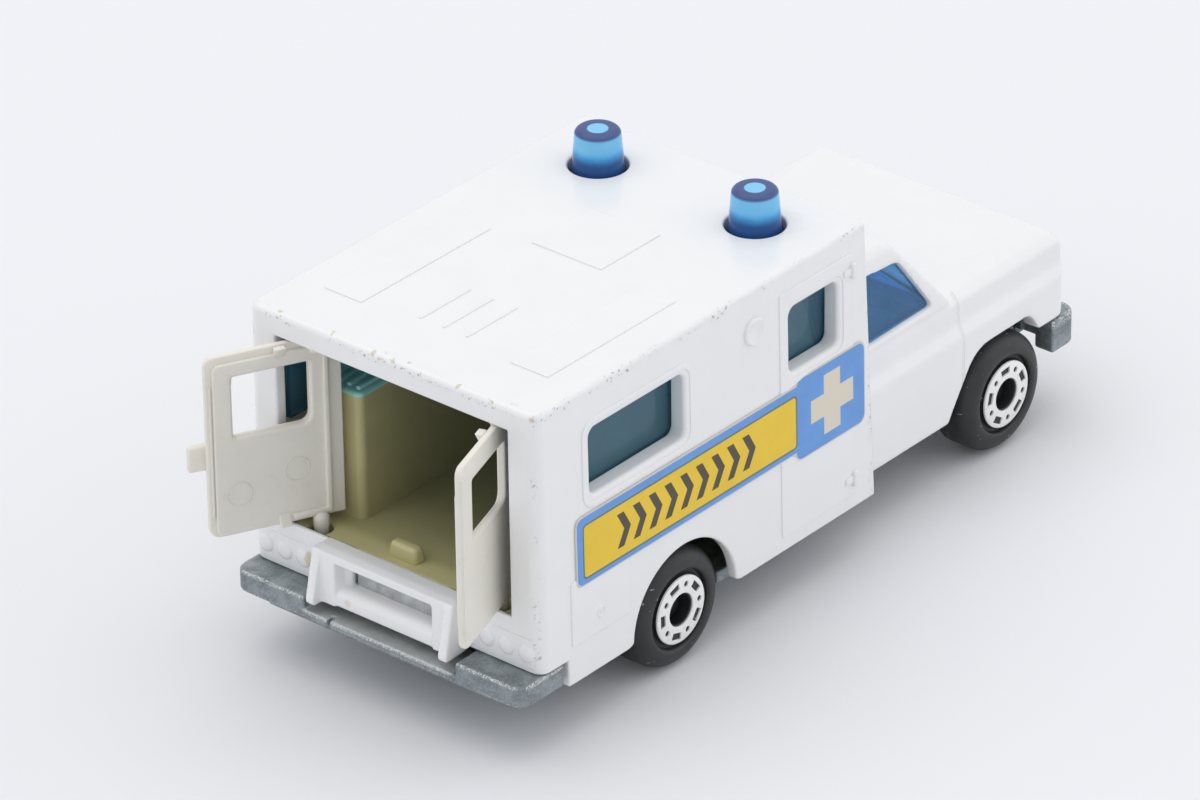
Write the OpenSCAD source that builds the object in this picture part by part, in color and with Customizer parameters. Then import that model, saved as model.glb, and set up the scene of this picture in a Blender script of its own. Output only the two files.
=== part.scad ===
// Toy ambulance: a die-cast van body on a pickup cab, riveted to a bare metal base.
// Frame: +X forward, +Y left, +Z up, ground at z = 0, midway between the axles.
// The rear doors are drawn standing open.

/* [Wheels and axles] */
// Outside diameter of the tyres
wheel_d = 10.7; // [9.6:0.1:11.2]
// Width of each wheel
wheel_w = 4; // [3.2:0.1:4.4]
// Distance between the front and rear axles
wheelbase = 44.7; // [43:0.1:50]
// Distance from the box side in to the outer face of the rear wheels
rear_tuck = 0.5; // [0.2:0.05:1]
// Distance by which the front wheels stand out of the cab side
front_out = 0.1; // [-0.4:0.05:0.4]
// Diameter of the white printed hub disc
hub_d = 6; // [5:0.1:7]
// Diameter of the cup in the middle of each hub
cup_d = 2.6; // [2.4:0.1:3.2]
// Diameter of the axle wire
axle_d = 1.2; // [0.9:0.05:1.4]

/* [Box body] */
// Length of the box at the skirt
box_len = 42.8; // [40:0.1:46]
// Width of the box at the skirt
box_w = 31; // [30.4:0.1:34]
// Height of the box from skirt to roof
box_h = 26.15; // [25:0.05:30]
// Height of the skirt above the ground
skirt_z = 5.15; // [4.8:0.05:5.6]
// Distance from the rear axle to the rear face
rear_overhang = 18; // [17.5:0.1:21]
// Thickness of the box side and front walls
box_wall = 1.5; // [1:0.05:1.7]
// Thickness of the rear wall round the doors
rear_wall = 1.2; // [0.9:0.05:1.4]
// Thickness of the roof
roof_t = 1.5; // [1.3:0.05:2]
// Lean of each side wall, in degrees
side_draft = 0.8; // [0:0.1:1.2]
// Lean of the front wall, in degrees
front_draft = 2.3; // [0:0.1:3]
// Radius of the long roof edges
roof_edge_r = 0.9; // [0.4:0.1:1.4]
// Radius of the rear corners seen from above
corner_r = 0.8; // [0.3:0.1:1.4]
// Radius of the rear wheel arch
rear_arch_r = 6.5; // [6.2:0.1:7]

/* [Rear opening and doors] */
// Distance from the box side in to the rear opening
opening_side = 3.25; // [3:0.05:4]
// Height of the opening's sill above the skirt
sill_h = 6.35; // [6.2:0.05:7]
// Height of metal above the opening
lintel_h = 2.15; // [1.9:0.05:3]
// Gap between the sill and the foot of the doors
door_foot = 0.85; // [0.6:0.05:1.2]
// Thickness of the door leaves
door_t = 0.8; // [0.7:0.05:1.1]
// Distance from the rear face to the hinge axis
hinge_inset = 1.95; // [1.9:0.05:2.4]
// Distance from the opening's edge to the hinge axis
hinge_side = 2.65; // [2.6:0.05:3.2]
// Diameter of the hinge pins
pin_d = 1.2; // [0.8:0.05:1.3]
// Width of the window in each door
door_win_w = 6.6; // [4:0.1:7]
// Height of the window in each door
door_win_h = 5.5; // [4:0.1:8]
// Angle at which the left door stands open, in degrees
left_open = 117; // [90:1:118]
// Angle at which the right door stands open, in degrees
right_open = 108; // [90:1:118]

/* [Side windows and labels] */
// Distance from the rear face to the rear side window
side_win_x = 6.6; // [5:0.1:9]
// Length of the rear side window
side_win_len = 11.8; // [8:0.1:14]
// Distance from the box front back to the window in the side door
front_win_x = 4.7; // [3.5:0.1:7.5]
// Length of the window in the side door
front_win_len = 6.3; // [5:0.1:7]
// Height of the side windows
side_win_h = 5.95; // [4:0.05:6.5]
// Distance from the roof down to the side windows
side_win_drop = 4; // [3.2:0.05:4.4]
// Distance from the rear face to the label
label_x = 4.4; // [2:0.1:5]
// Distance from the box front back to the label
label_front = 1.5; // [1:0.1:4.4]
// Height of the label's long band
label_h = 6.35; // [5:0.05:6.5]
// Thickness of the label
label_t = 0.12; // [0.08:0.01:0.2]

/* [Cab] */
// Distance from the front axle to the nose
front_overhang = 8.6; // [8:0.1:11]
// Distance from the box side in to the cab side
cab_tuck = 1.6; // [1.2:0.05:1.8]
// Thickness of the cab walls
cab_wall = 1.1; // [0.9:0.05:1.3]
// Height of the cab sills above the ground
cab_sill_z = 5.9; // [5.5:0.05:6.3]
// Height of the cab roof above the ground
cab_roof_z = 25.2; // [24.6:0.1:26]
// Height of the bonnet shoulder above the ground
shoulder_z = 17.3; // [16.8:0.1:17.8]
// Length of the cab from the box to the foot of the windscreen
cab_len = 11.8; // [11:0.1:13]

/* [Roof and beacons] */
// Distance from the box front back to the beacons
beacon_x = 7; // [5.8:0.1:9.8]
// Distance from the box side in to the middle of each beacon
beacon_side = 7.15; // [6.5:0.05:9.5]
// Diameter of each beacon at its foot
beacon_d = 4.4; // [3.6:0.1:5]
// Height of each beacon above the roof
beacon_h = 3.3; // [2:0.1:4]
// Width of the gap round each beacon
beacon_play = 0.5; // [0.3:0.05:0.8]

/* [Base and bumpers] */
// Height of the flat underside above the ground
base_z = 4.1; // [3.8:0.05:4.3]
// Thickness of the base plate
base_t = 1.2; // [1:0.05:1.4]
// Height of the rear bumper bar
bumper_h = 2; // [1.6:0.05:2.1]
// Distance from the rear face to the back of the rear bumper
bumper_out = 2.1; // [2:0.1:3]
// Distance from the nose to the front of the front bumper
front_bumper_out = 1.5; // [1:0.1:2.5]
// Height of the front bumper bar
front_bumper_h = 3; // [2:0.1:3.2]
// Diameter of the rivet posts
post_d = 3; // [2:0.1:3.4]

/* [Interior] */
// Thickness of the interior floor
floor_t = 1; // [0.8:0.05:1.2]
// Width of the locker along the left wall
locker_w = 5; // [3:0.1:6]
// Length of the locker
locker_len = 19.15; // [12:0.05:20]
// Height of the locker above the floor
locker_h = 11.8; // [6:0.1:13]
// Thickness of the window moulding
glaze_t = 0.8; // [0.6:0.05:0.9]

/* [Fits] */
// Radial gap of turning pins and axles in their holes
run_gap = 0.05; // [0.02:0.01:0.09]
// Gap between pieces that lie side by side
side_gap = 0.1; // [0.05:0.01:0.2]
// Gap between the doors and the opening
door_gap = 0.12; // [0.1:0.01:0.25]
// End play of each wheel between base and axle head
wheel_play = 0.3; // [0.2:0.05:0.4]

/* [Hidden] */
$fn = 48;
// Overlap that lets one cut pass clear through a face
cut = 1;

// Wheels
cab_half = box_w / 2 - cab_tuck;
rear_track = box_w - 2 * rear_tuck;
front_track = 2 * (cab_half + front_out);
wheel_r = wheel_d / 2;
axle_z = wheel_r;
rear_axle_x = -wheelbase / 2;
front_axle_x = wheelbase / 2;
axle_hole_r = axle_d / 2 + run_gap;
cup_depth = 0.9;
head_t = 0.45;
head_sink = 0.25;
head_r = cup_d / 2 - 0.25;
rear_base_half = rear_track / 2 - wheel_w - wheel_play;
front_base_half = front_track / 2 - wheel_w - wheel_play;
// Length of base plate left clear for each pair of wheels, either side of the axle
wheel_bay = wheel_r + 1.2;

// Box
rear_x = rear_axle_x - rear_overhang;
front_x = rear_x + box_len;
roof_z = skirt_z + box_h;
roof_in_z = roof_z - roof_t;
front_top_x = front_x - box_h * tan(front_draft);
side_run = box_h * tan(side_draft);
side_win_z = box_h - side_win_drop - side_win_h;
top_half = box_w / 2 - side_run;
inner_half = top_half - box_wall;
rear_in_x = rear_x + rear_wall;
front_in_x = front_top_x - box_wall;

// Raised shapes on the roof
panel_rear = 5.6;
panel_len = 16;
panel_y = 9.8;
panel_half = 2;
hatch_len = 7.6;
hatch_half = 3.7;
rib_len = 6.2;
rib_pitch = 2.45;

// Tail below the doors
bumper_gap = 0.75;
bumper_z = skirt_z - 0.3;
bumper_top = bumper_z + bumper_h;
tail_z = bumper_top + bumper_gap;
sill_z = skirt_z + sill_h;
floor_top = sill_z - side_gap;
floor_low = floor_top - floor_t;
tail_return = 3.35;
gusset_side = 8.3;
gusset_y = box_w / 2 - gusset_side;
gusset_t = 0.9;
plate_half = gusset_y - 0.2;
plate_out = 0.55;
// The step recess sits off centre
recess_left = plate_half - 1;
recess_right = plate_half - 3.1;
lamp_r = 0.8;
lamp_out = 0.25;

// Rear opening and hinges
open_half = box_w / 2 - opening_side;
open_top = roof_z - lintel_h;
hinge_x = rear_x + hinge_inset;
hinge_y = open_half - hinge_side;
pin_r = pin_d / 2;
pin_hole_r = pin_r + run_gap;
pin_up = 0.75;
pin_grip = 1.2;
pin_room = 0.35;
swing_clear = 0.2;
// The leaf's outer face stands this far behind the hinge axis
leaf_back = door_t + 0.05;
// The hinge edge stops where the swinging corner clears the opening's edge
leaf_tail = sqrt(pow(hinge_side - swing_clear, 2) - pow(leaf_back, 2));
leaf_reach = hinge_y - door_gap;
door_low = sill_z + door_foot;
door_high = open_top - door_gap;
lug_reach = 1.6;
lug_low = tail_z + 0.6;
lug_top = floor_low - side_gap;
pin_low = lug_top - pin_grip;

// Cab
waist_in = 0.7;
cab_in = cab_half - waist_in - cab_wall;
nose_x = front_axle_x + front_overhang;
cowl_x = front_x + cab_len;
ridge_z = shoulder_z - 3.9;
band_z = ridge_z + 0.8;
crease_in = 4.4;
crease_y = cab_half - crease_in;
crease_z = shoulder_z + 1.3;
bonnet_in_z = shoulder_z - cab_wall;
nose_low = 9.7;
belt_z = shoulder_z + 0.2;
screen_run = 5.5;
roof_half = cab_half - 2.3;
screen_foot_z = shoulder_z + 1.3;
cab_win_low = belt_z + 0.3;
cab_win_top = cab_roof_z - 1.75;
cab_win_rear = front_x + 1;
grille_half = cab_half - 3.4;
slot_half = grille_half - 4.3;
grille_top = shoulder_z - 1.5;
headlamp_d = 3;

// Base
base_top = base_z + base_t;
housing_half = 1.7;
housing_top = axle_z + axle_d / 2 + 0.65;
rivet_r = post_d / 2 + 0.5;
rivet_t = 0.5;
rivet_sink = 0.6;
// Front end of the base plate and the riser that stands on it
front_end = nose_x - cab_wall - 1.2;
riser_x = front_end - 0.5;
front_post_x = (front_axle_x + housing_half + riser_x) / 2;
rear_post_in = 4.6;
rear_post_x = rear_in_x + rear_post_in;
front_bumper_z = nose_low - 0.2 - front_bumper_h;
front_bumper_half = cab_half + 0.1;
bumper_back = rear_x - bumper_out;
bumper_bar = bumper_out - 0.15;
bumper_half = box_w / 2 - 0.1;
bumper_end_x = rear_x + tail_return - side_gap;
// The middle of the rear bumper is a lower step
step_half = gusset_y + 0.8;
step_h = bumper_h * 0.55;

// Interior and glazing
floor_half = inner_half - 2 * side_gap;
facia_t = 1.5;
floor_front = cowl_x - facia_t;
wheel_room = 0.3;
floor_over_wheel = wheel_d + wheel_room;
pane_half = inner_half - side_gap;
pane_top = roof_in_z - side_gap / 2;
pane_inset = 6;
pane_rear = rear_x + pane_inset;
pane_low = skirt_z + side_win_z - 1;
locker_x = hinge_x + 2.9;
locker_out = pane_half - glaze_t - side_gap;
glass_lap = 1;
seat_gap = 1.5;
seat_half = cab_in - 2.6;
seat_len = 5;
seat_h = 2.6;
seat_back_t = 1.4;
seat_back_h = 7;
facia_drop = 1.6;
locker_wall = 1;
leg_back = 9;
leg_x = front_in_x - leg_back;
leg_len = 3;
leg_y = 6;
leg_half = 1;
steer_y = 5;
steer_drop = 3;
steer_d = 4.6;
stop_len = 1.3;
stop_w = 2.6;
stop_y = -0.7;
stop_h = 1.2;
beacon_at_x = front_x - beacon_x;
beacon_y = box_w / 2 - beacon_side;
beacon_wall = 1;
label_flare = 9.6;
label_gap = 1.25;

// Points along an arc, from one angle to another
function arc(c, r, from, to, n = 6) =
    [for (i = [0:n]) c + r * [cos(from + (to - from) * i / n), sin(from + (to - from) * i / n)]];

// A half outline joined to its mirror image across the first axis
function both_halves(p) =
    concat(p, [for (i = [len(p) - 1:-1:0]) [-p[i][0], p[i][1]]]);

// Sweep a Y-Z outline along X from x0 to x1
module along_x(x0, x1, points) {
    translate([x0, 0, 0]) rotate([90, 0, 90]) linear_extrude(x1 - x0) polygon(points);
}

// Sweep an X-Z outline along Y from y0 to y1
module along_y(y0, y1, points) {
    translate([0, y1, 0]) rotate([90, 0, 0]) linear_extrude(y1 - y0) polygon(points);
}

// A block given by its two corners
module block(low, high) {
    translate(low) cube(high - low);
}

// Children in the plane of a side wall: s is 1 on the left and -1 on the right
module on_wall(s) {
    translate([0, s * box_w / 2, skirt_z]) rotate([s * side_draft, 0, 0]) children();
}

module box_outer() {
    section = both_halves(concat(
        [[box_w / 2, skirt_z]],
        arc([top_half - roof_edge_r, roof_z - roof_edge_r], roof_edge_r, 0, 90)));
    profile = concat(
        [[rear_x + tail_return, skirt_z], [front_x, skirt_z], [front_top_x, roof_z - 0.3],
         [front_top_x - 0.3, roof_z]],
        arc([rear_x + 0.8, roof_z - 0.8], 0.8, 90, 180),
        [[rear_x, tail_z], [rear_x + tail_return, tail_z]]);
    plan = concat(
        [[front_x + cut, -box_w], [front_x + cut, box_w]],
        arc([rear_x + corner_r, box_w / 2 - corner_r], corner_r, 90, 180),
        arc([rear_x + corner_r, corner_r - box_w / 2], corner_r, 180, 270));
    intersection() {
        along_x(rear_x, front_x + cut, section);
        along_y(-box_w, box_w, profile);
        linear_extrude(roof_z + cut) polygon(plan);
    }
}

// Lower cab: doors, wings and bonnet
module cab_lower() {
    section = both_halves([
        [cab_half, cab_sill_z], [cab_half, ridge_z], [cab_half - waist_in, band_z],
        [cab_half - waist_in, shoulder_z - 0.6], [cab_half - waist_in - 0.7, shoulder_z],
        [crease_y, crease_z - 0.2], [crease_y - 0.4, crease_z]]);
    profile = [
        [front_top_x - 1, cab_sill_z], [front_axle_x, cab_sill_z], [front_axle_x, nose_low],
        [nose_x - 0.4, nose_low], [nose_x, nose_low + 0.4], [nose_x, shoulder_z - 1.2],
        [nose_x - 0.8, shoulder_z + 0.2], [cowl_x, crease_z], [front_top_x - 1, crease_z]];
    plan = concat(
        [[front_top_x - 2, -box_w], [nose_x - 3, -box_w], [nose_x - 3, -cab_half]],
        arc([nose_x - 1.5, 1.5 - cab_half], 1.5, 270, 360),
        arc([nose_x - 1.5, cab_half - 1.5], 1.5, 0, 90),
        [[nose_x - 3, cab_half], [nose_x - 3, box_w], [front_top_x - 2, box_w]]);
    intersection() {
        along_x(front_top_x - 1, nose_x, section);
        along_y(-box_w, box_w, profile);
        linear_extrude(roof_z) polygon(plan);
    }
}

// Upper cab, drawn the given distance inside its outer faces, from a rear plane forward
module greenhouse(inset, from_x, from_z) {
    lean = inset * 1.25;
    foot_x = cowl_x + 0.4 - lean;
    top_x = cowl_x + 0.4 - screen_run - lean;
    top_z = cab_roof_z - inset;
    section = both_halves([
        [cab_half - waist_in - inset, from_z], [cab_half - waist_in - inset, belt_z],
        [roof_half - inset, top_z - 0.7], [roof_half - 0.8 - inset, top_z]]);
    profile = [
        [from_x, from_z], [foot_x, from_z], [foot_x, screen_foot_z - 0.6],
        [top_x, top_z - 0.5], [top_x - 0.9, top_z], [from_x, top_z]];
    intersection() {
        along_x(from_x, foot_x, section);
        along_y(-box_w, box_w, profile);
    }
}

// The windows cut in the cab: both doors and the windscreen
module cab_windows() {
    side = [
        [cab_win_rear, cab_win_low], [cowl_x - 1.7, cab_win_low + 0.5],
        [cowl_x - screen_run - 0.5, cab_win_top], [cab_win_rear, cab_win_top]];
    screen = both_halves([
        [cab_half - waist_in - 2.3, screen_foot_z + 0.3], [roof_half - 1.8, cab_roof_z - 1.4]]);
    along_y(-box_w, box_w, side);
    along_x(cowl_x - screen_run + cab_wall, cowl_x + 4, screen);
}

// One rounded window hole through a side wall
module wall_window(x, length) {
    r = 0.7;
    low = side_win_z;
    translate([rear_x + x, box_w, 0]) rotate([90, 0, 0]) linear_extrude(2 * box_w)
        polygon(concat(
            arc([r, low + r], r, 180, 270), arc([length - r, low + r], r, 270, 360),
            arc([length - r, low + side_win_h - r], r, 0, 90),
            arc([r, low + side_win_h - r], r, 90, 180)));
}

module wheel_arches() {
    room = wheel_r + 0.9;
    top = axle_z + room;
    front = [
        [-room - 2, cab_sill_z - cut], [-room - 1.45, cab_sill_z + 0.3], [1.35 - room, top - 1.25],
        [2.35 - room, top - 0.4], [3.65 - room, top - 0.05], [room - 3.25, top],
        [room - 2.55, top - 0.45], [room - 1.15, nose_low - 0.8], [room - 1.15, cab_sill_z - cut]];
    for (s = [-1, 1]) {
        translate([rear_axle_x, s * (inner_half + box_w) / 2, axle_z - 0.2]) rotate([90, 0, 0])
            cylinder(r = rear_arch_r, h = box_w - inner_half + cut, center = true, $fn = 96);
        translate([front_axle_x, 0, 0])
            along_y(min(s * cab_in, s * box_w), max(s * cab_in, s * box_w), front);
    }
}

// Everything behind the doors and under the bonnet is hollow
module body_cavity() {
    block([rear_in_x, -inner_half, -cut], [front_in_x, inner_half, roof_in_z]);
    block([front_in_x - cut, -cab_in, -cut], [nose_x - cab_wall, cab_in, bonnet_in_z]);
    greenhouse(cab_wall, front_in_x - cut, bonnet_in_z - cut);
}

module tail_plate() {
    gusset = [
        [rear_x + 0.4, tail_z], [rear_x + 0.4, sill_z - 0.3], [rear_x - 0.5, sill_z - 0.5],
        [rear_x - bumper_out + 0.1, tail_z - 0.1], [rear_x - bumper_out + 0.1, tail_z - 0.5],
        [rear_x - 0.7, tail_z - 0.5]];
    block([rear_x - plate_out, -plate_half, tail_z], [rear_x + 0.4, plate_half, sill_z - 0.1]);
    for (s = [-1, 1]) {
        along_y(s * gusset_y - gusset_t / 2, s * gusset_y + gusset_t / 2, gusset);
        for (i = [0:2])
            translate([rear_x - lamp_out, s * (gusset_y + 2.2 + i * (2 * lamp_r + 0.3)), tail_z + 1.8])
                rotate([0, 90, 0]) cylinder(r = lamp_r, h = lamp_out + 0.4);
    }
}

// The step recess in the tail plate and the slot behind it
module tail_recess() {
    block([rear_x - plate_out - cut, -recess_right, tail_z + 0.6],
          [rear_x + 0.3, recess_left, sill_z - 1.1]);
    block([rear_x - cut, 0.5 - recess_right, tail_z + 1],
          [rear_in_x + cut, recess_left - 1.7, sill_z - 1.2]);
}

// Low raised panels, hatch and ribs on the roof
module roof_relief() {
    low = roof_z - 0.2;
    high = roof_z + 0.15;
    panel_x = rear_x + panel_rear;
    hatch_x = panel_x + panel_len + 0.2;
    rib_x = panel_x + 1;
    for (s = [-1, 1])
        block([panel_x, s * panel_y - panel_half, low],
              [panel_x + panel_len, s * panel_y + panel_half, high]);
    block([hatch_x, -hatch_half, low], [hatch_x + hatch_len, hatch_half, high]);
    for (i = [-1:1])
        block([rib_x, i * rib_pitch - 0.15, low], [rib_x + rib_len, i * rib_pitch + 0.15, high]);
}

// Lugs that carry the lower door pins, joined by a bar under the floor
module hinge_lugs() {
    for (s = [-1, 1])
        block([rear_in_x - 0.4, min(s * (hinge_y - lug_reach), s * (hinge_y + lug_reach)), lug_low],
              [hinge_x + lug_reach, max(s * (hinge_y - lug_reach), s * (hinge_y + lug_reach)), lug_top]);
    block([hinge_x + 0.5, -hinge_y, lug_low], [rear_post_x + rivet_r, hinge_y, lug_top]);
}

// A rivet post with its spun head under the base
module rivet_post(x, top) {
    head_z = base_z + rivet_sink - rivet_t;
    translate([x, 0, head_z]) cylinder(d = post_d, h = top - head_z);
    translate([x, 0, head_z]) cylinder(r = rivet_r - run_gap, h = rivet_t);
}

module pin_holes() {
    for (s = [-1, 1]) {
        translate([hinge_x, s * hinge_y, pin_low - run_gap])
            cylinder(r = pin_hole_r, h = door_low - pin_low);
        translate([hinge_x, s * hinge_y, open_top - cut])
            cylinder(r = pin_hole_r, h = roof_in_z - open_top + pin_up + run_gap + cut);
    }
}

module body_shell() color("white") {
    difference() {
        union() {
            difference() {
                union() {
                    box_outer();
                    cab_lower();
                    greenhouse(0, front_top_x - 1, shoulder_z - 1);
                    tail_plate();
                    roof_relief();
                }
                body_cavity();
                block([rear_x - cut, -open_half, sill_z], [rear_in_x + cut, open_half, open_top]);
                translate([0, 0, skirt_z]) {
                    wall_window(side_win_x, side_win_len);
                    wall_window(box_len - front_win_x - front_win_len, front_win_len);
                }
                cab_windows();
                wheel_arches();
                tail_recess();
                block([nose_x - cab_wall - cut, -grille_half, nose_low - cut],
                      [nose_x + cut, grille_half, grille_top]);
                for (s = [-1, 1])
                    translate([beacon_at_x, s * beacon_y, roof_in_z - cut])
                        cylinder(d = beacon_d + 2 * beacon_play, h = roof_t + 2 * cut);
            }
            hinge_lugs();
            rivet_post(front_post_x, bonnet_in_z + 0.5);
            rivet_post(rear_post_x, lug_low + 0.5);
        }
        pin_holes();
    }
}

// Bar with rounded corners, seen from above: x0 is its back, x1 its outer face
module bumper_bar(back_x, face_x, end_x, half, bar, r) {
    s = face_x > back_x ? 1 : -1;
    outer = concat(
        [[end_x, half]],
        arc([face_x - s * r, half - r], r, 90, s > 0 ? 0 : 180),
        arc([face_x - s * r, r - half], r, s > 0 ? 0 : 180, s > 0 ? -90 : 270),
        [[end_x, -half]]);
    difference() {
        polygon(outer);
        translate([min(end_x - s, face_x - s * bar), bar - half])
            square([abs(face_x - s * bar - end_x + s), 2 * (half - bar)]);
    }
}

module base_plate() color("lightslategray") {
    mid_half = inner_half - 2 * side_gap;
    cab_bay = cab_in - 2 * side_gap;
    difference() {
        union() {
            block([rear_x + 0.2, -mid_half, base_z], [rear_axle_x - wheel_bay, mid_half, base_top]);
            block([rear_axle_x - wheel_bay - cut, -rear_base_half, base_z],
                  [rear_axle_x + wheel_bay + cut, rear_base_half, base_top]);
            block([rear_axle_x + wheel_bay, -mid_half, base_z], [front_in_x, mid_half, base_top]);
            block([front_in_x - cut, -cab_bay, base_z], [front_axle_x - wheel_bay, cab_bay, base_top]);
            block([front_axle_x - wheel_bay - cut, -front_base_half, base_z],
                  [front_end, front_base_half, base_top]);
            for (a = [[rear_axle_x, rear_base_half], [front_axle_x, front_base_half]])
                block([a[0] - housing_half, -a[1], base_z], [a[0] + housing_half, a[1], housing_top]);
            // Rear bumper, its neck and the plate that shows in the tail slot
            translate([0, 0, bumper_z]) linear_extrude(bumper_h)
                bumper_bar(rear_x, bumper_back, bumper_end_x, bumper_half, bumper_bar, 2.4);
            block([bumper_back + 0.5, -plate_half, base_z], [rear_x + 2, plate_half, base_top]);
            block([bumper_back + 0.5, -plate_half, bumper_z], [rear_x + 0.3, plate_half, bumper_top]);
            block([rear_in_x + side_gap, 0.1 - recess_right, base_z],
                  [rear_in_x + side_gap + 0.7, recess_left - 1.3, floor_low - side_gap]);
            // Front riser, bumper and grille
            block([riser_x, -front_base_half, base_z],
                  [front_end + 0.6, front_base_half, nose_low]);
            translate([0, 0, front_bumper_z]) linear_extrude(front_bumper_h)
                bumper_bar(nose_x, nose_x + front_bumper_out, nose_x - 2.2, front_bumper_half, 2, 1.6);
            block([front_end, -front_base_half, front_bumper_z],
                  [nose_x + 0.2, front_base_half, front_bumper_z + front_bumper_h]);
            difference() {
                block([front_end, side_gap - grille_half, front_bumper_z + 1],
                      [nose_x - 0.35, grille_half - side_gap, grille_top - side_gap]);
                for (i = [0:3])
                    block([nose_x - 0.8, -slot_half, nose_low + 0.7 + i * 1.25],
                          [nose_x, slot_half, nose_low + 1.4 + i * 1.25]);
                block([front_end - cut, cab_in - side_gap, front_bumper_z],
                      [nose_x - cab_wall - side_gap, box_w, grille_top]);
                block([front_end - cut, -box_w, front_bumper_z],
                      [nose_x - cab_wall - side_gap, side_gap - cab_in, grille_top]);
            }
            for (s = [-1, 1])
                translate([nose_x - cab_wall, s * (grille_half - 2.2), (nose_low + grille_top) / 2])
                    rotate([0, 90, 0]) cylinder(d = headlamp_d, h = cab_wall - 0.1);
        }
        block([bumper_back - cut, -step_half, bumper_z + step_h],
              [rear_x + 0.4, step_half, bumper_top + cut]);
        for (x = [rear_axle_x, front_axle_x])
            translate([x, 0, axle_z]) rotate([90, 0, 0])
                cylinder(r = axle_hole_r, h = box_w, center = true);
        for (x = [rear_post_x, front_post_x])
            translate([x, 0, base_z - cut]) {
                cylinder(d = post_d + 2 * run_gap, h = base_t + 2 * cut);
                cylinder(r = rivet_r, h = rivet_sink + cut);
            }
    }
}

// One beacon: a tapered cap with a round top edge, hollow from below
module beacon() {
    low = pane_top - glaze_t / 2 - roof_z;
    r = beacon_d / 2;
    top_r = r - 0.2;
    edge = 0.3;
    rotate_extrude() polygon(concat(
        [[0, beacon_h - beacon_wall], [r - 1.2 * beacon_wall, beacon_h - beacon_wall],
         [r - beacon_wall, low], [r, low]],
        arc([top_r - edge, beacon_h - edge], edge, 0, 90),
        [[0, beacon_h]]));
}

module window_moulding() color("dodgerblue", 0.6) {
    web_half = roof_half - 2.5;
    front = front_in_x - side_gap;
    difference() {
        union() {
            block([pane_rear, -pane_half, pane_top - glaze_t], [front, pane_half, pane_top]);
            for (s = [-1, 1])
                block([pane_rear, min(s * pane_half, s * (pane_half - glaze_t)), pane_low],
                      [front, max(s * pane_half, s * (pane_half - glaze_t)), pane_top]);
        }
        for (s = [-1, 1])
            translate([beacon_at_x, s * beacon_y, roof_in_z - 3 * beacon_wall])
                cylinder(r = beacon_d / 2 - beacon_wall, h = 6 * beacon_wall);
    }
    for (s = [-1, 1])
        translate([beacon_at_x, s * beacon_y, roof_z]) beacon();
    // Web from the roof pane down to the cab glass
    block([front - glaze_t, -web_half, cab_roof_z - cab_wall - side_gap - glaze_t],
          [front, web_half, pane_top]);
    difference() {
        greenhouse(cab_wall + side_gap, front - glaze_t, belt_z - glass_lap);
        greenhouse(cab_wall + side_gap + glaze_t, front - 2 * glaze_t, belt_z - glass_lap - cut);
    }
}

module interior_moulding() color("darkkhaki") {
    rear = rear_in_x + 2 * side_gap;
    locker_top = floor_top + locker_h;
    locker_front = locker_x + locker_len;
    locker_in = locker_out - locker_w;
    rib_step = (locker_w - locker_wall) / 4;
    stop_x = hinge_x + side_gap;
    seat_x = front_x + seat_gap;
    difference() {
        union() {
            block([rear, -floor_half, floor_low], [front_in_x - side_gap, floor_half, floor_top]);
            block([front_in_x - cut, 2 * side_gap - cab_in, floor_low],
                  [floor_front, cab_in - 2 * side_gap, floor_top]);
            // Tall locker with a ribbed top
            block([locker_x, locker_in, floor_low], [locker_front, locker_out, locker_top]);
            for (i = [0:3])
                block([locker_x + 0.5, locker_in + 0.5 + i * rib_step, locker_top - cut],
                      [locker_front - 0.5, locker_in + 0.9 + i * rib_step, locker_top + 0.3]);
            // Stop block by the sill
            block([stop_x, stop_y, floor_top - 0.2],
                  [stop_x + stop_len, stop_y + stop_w, floor_top + stop_h]);
            // Cab seat and facia
            block([seat_x, -seat_half, floor_top - 0.2],
                  [seat_x + seat_len, seat_half, floor_top + seat_h]);
            block([seat_x, -seat_half, floor_top - 0.2],
                  [seat_x + seat_back_t, seat_half, floor_top + seat_back_h]);
            block([floor_front - facia_t, -seat_half, floor_top - 0.2],
                  [floor_front, seat_half, belt_z - facia_drop]);
            // Steering column and wheel
            translate([floor_front - 1, steer_y, belt_z - steer_drop]) rotate([0, -60, 0]) {
                cylinder(d = 0.9, h = 2.2);
                translate([0, 0, 1.8]) cylinder(d = steer_d, h = 0.5);
            }
            // Legs that stand on the base
            for (s = [-1, 1])
                block([leg_x, s * leg_y - leg_half, base_top],
                      [leg_x + leg_len, s * leg_y + leg_half, floor_top - 0.2]);
        }
        block([locker_x + locker_wall, locker_in + locker_wall, floor_low - cut],
              [locker_front - locker_wall, locker_out - locker_wall, locker_top - locker_wall]);
        for (s = [-1, 1]) {
            translate([hinge_x, s * hinge_y, floor_low - cut])
                cylinder(r = pin_r + pin_room, h = floor_t + 2 * cut);
            block([rear_axle_x - wheel_bay, min(s * rear_base_half, s * box_w), floor_low - cut],
                  [rear_axle_x + wheel_bay, max(s * rear_base_half, s * box_w), floor_over_wheel]);
        }
    }
}

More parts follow.
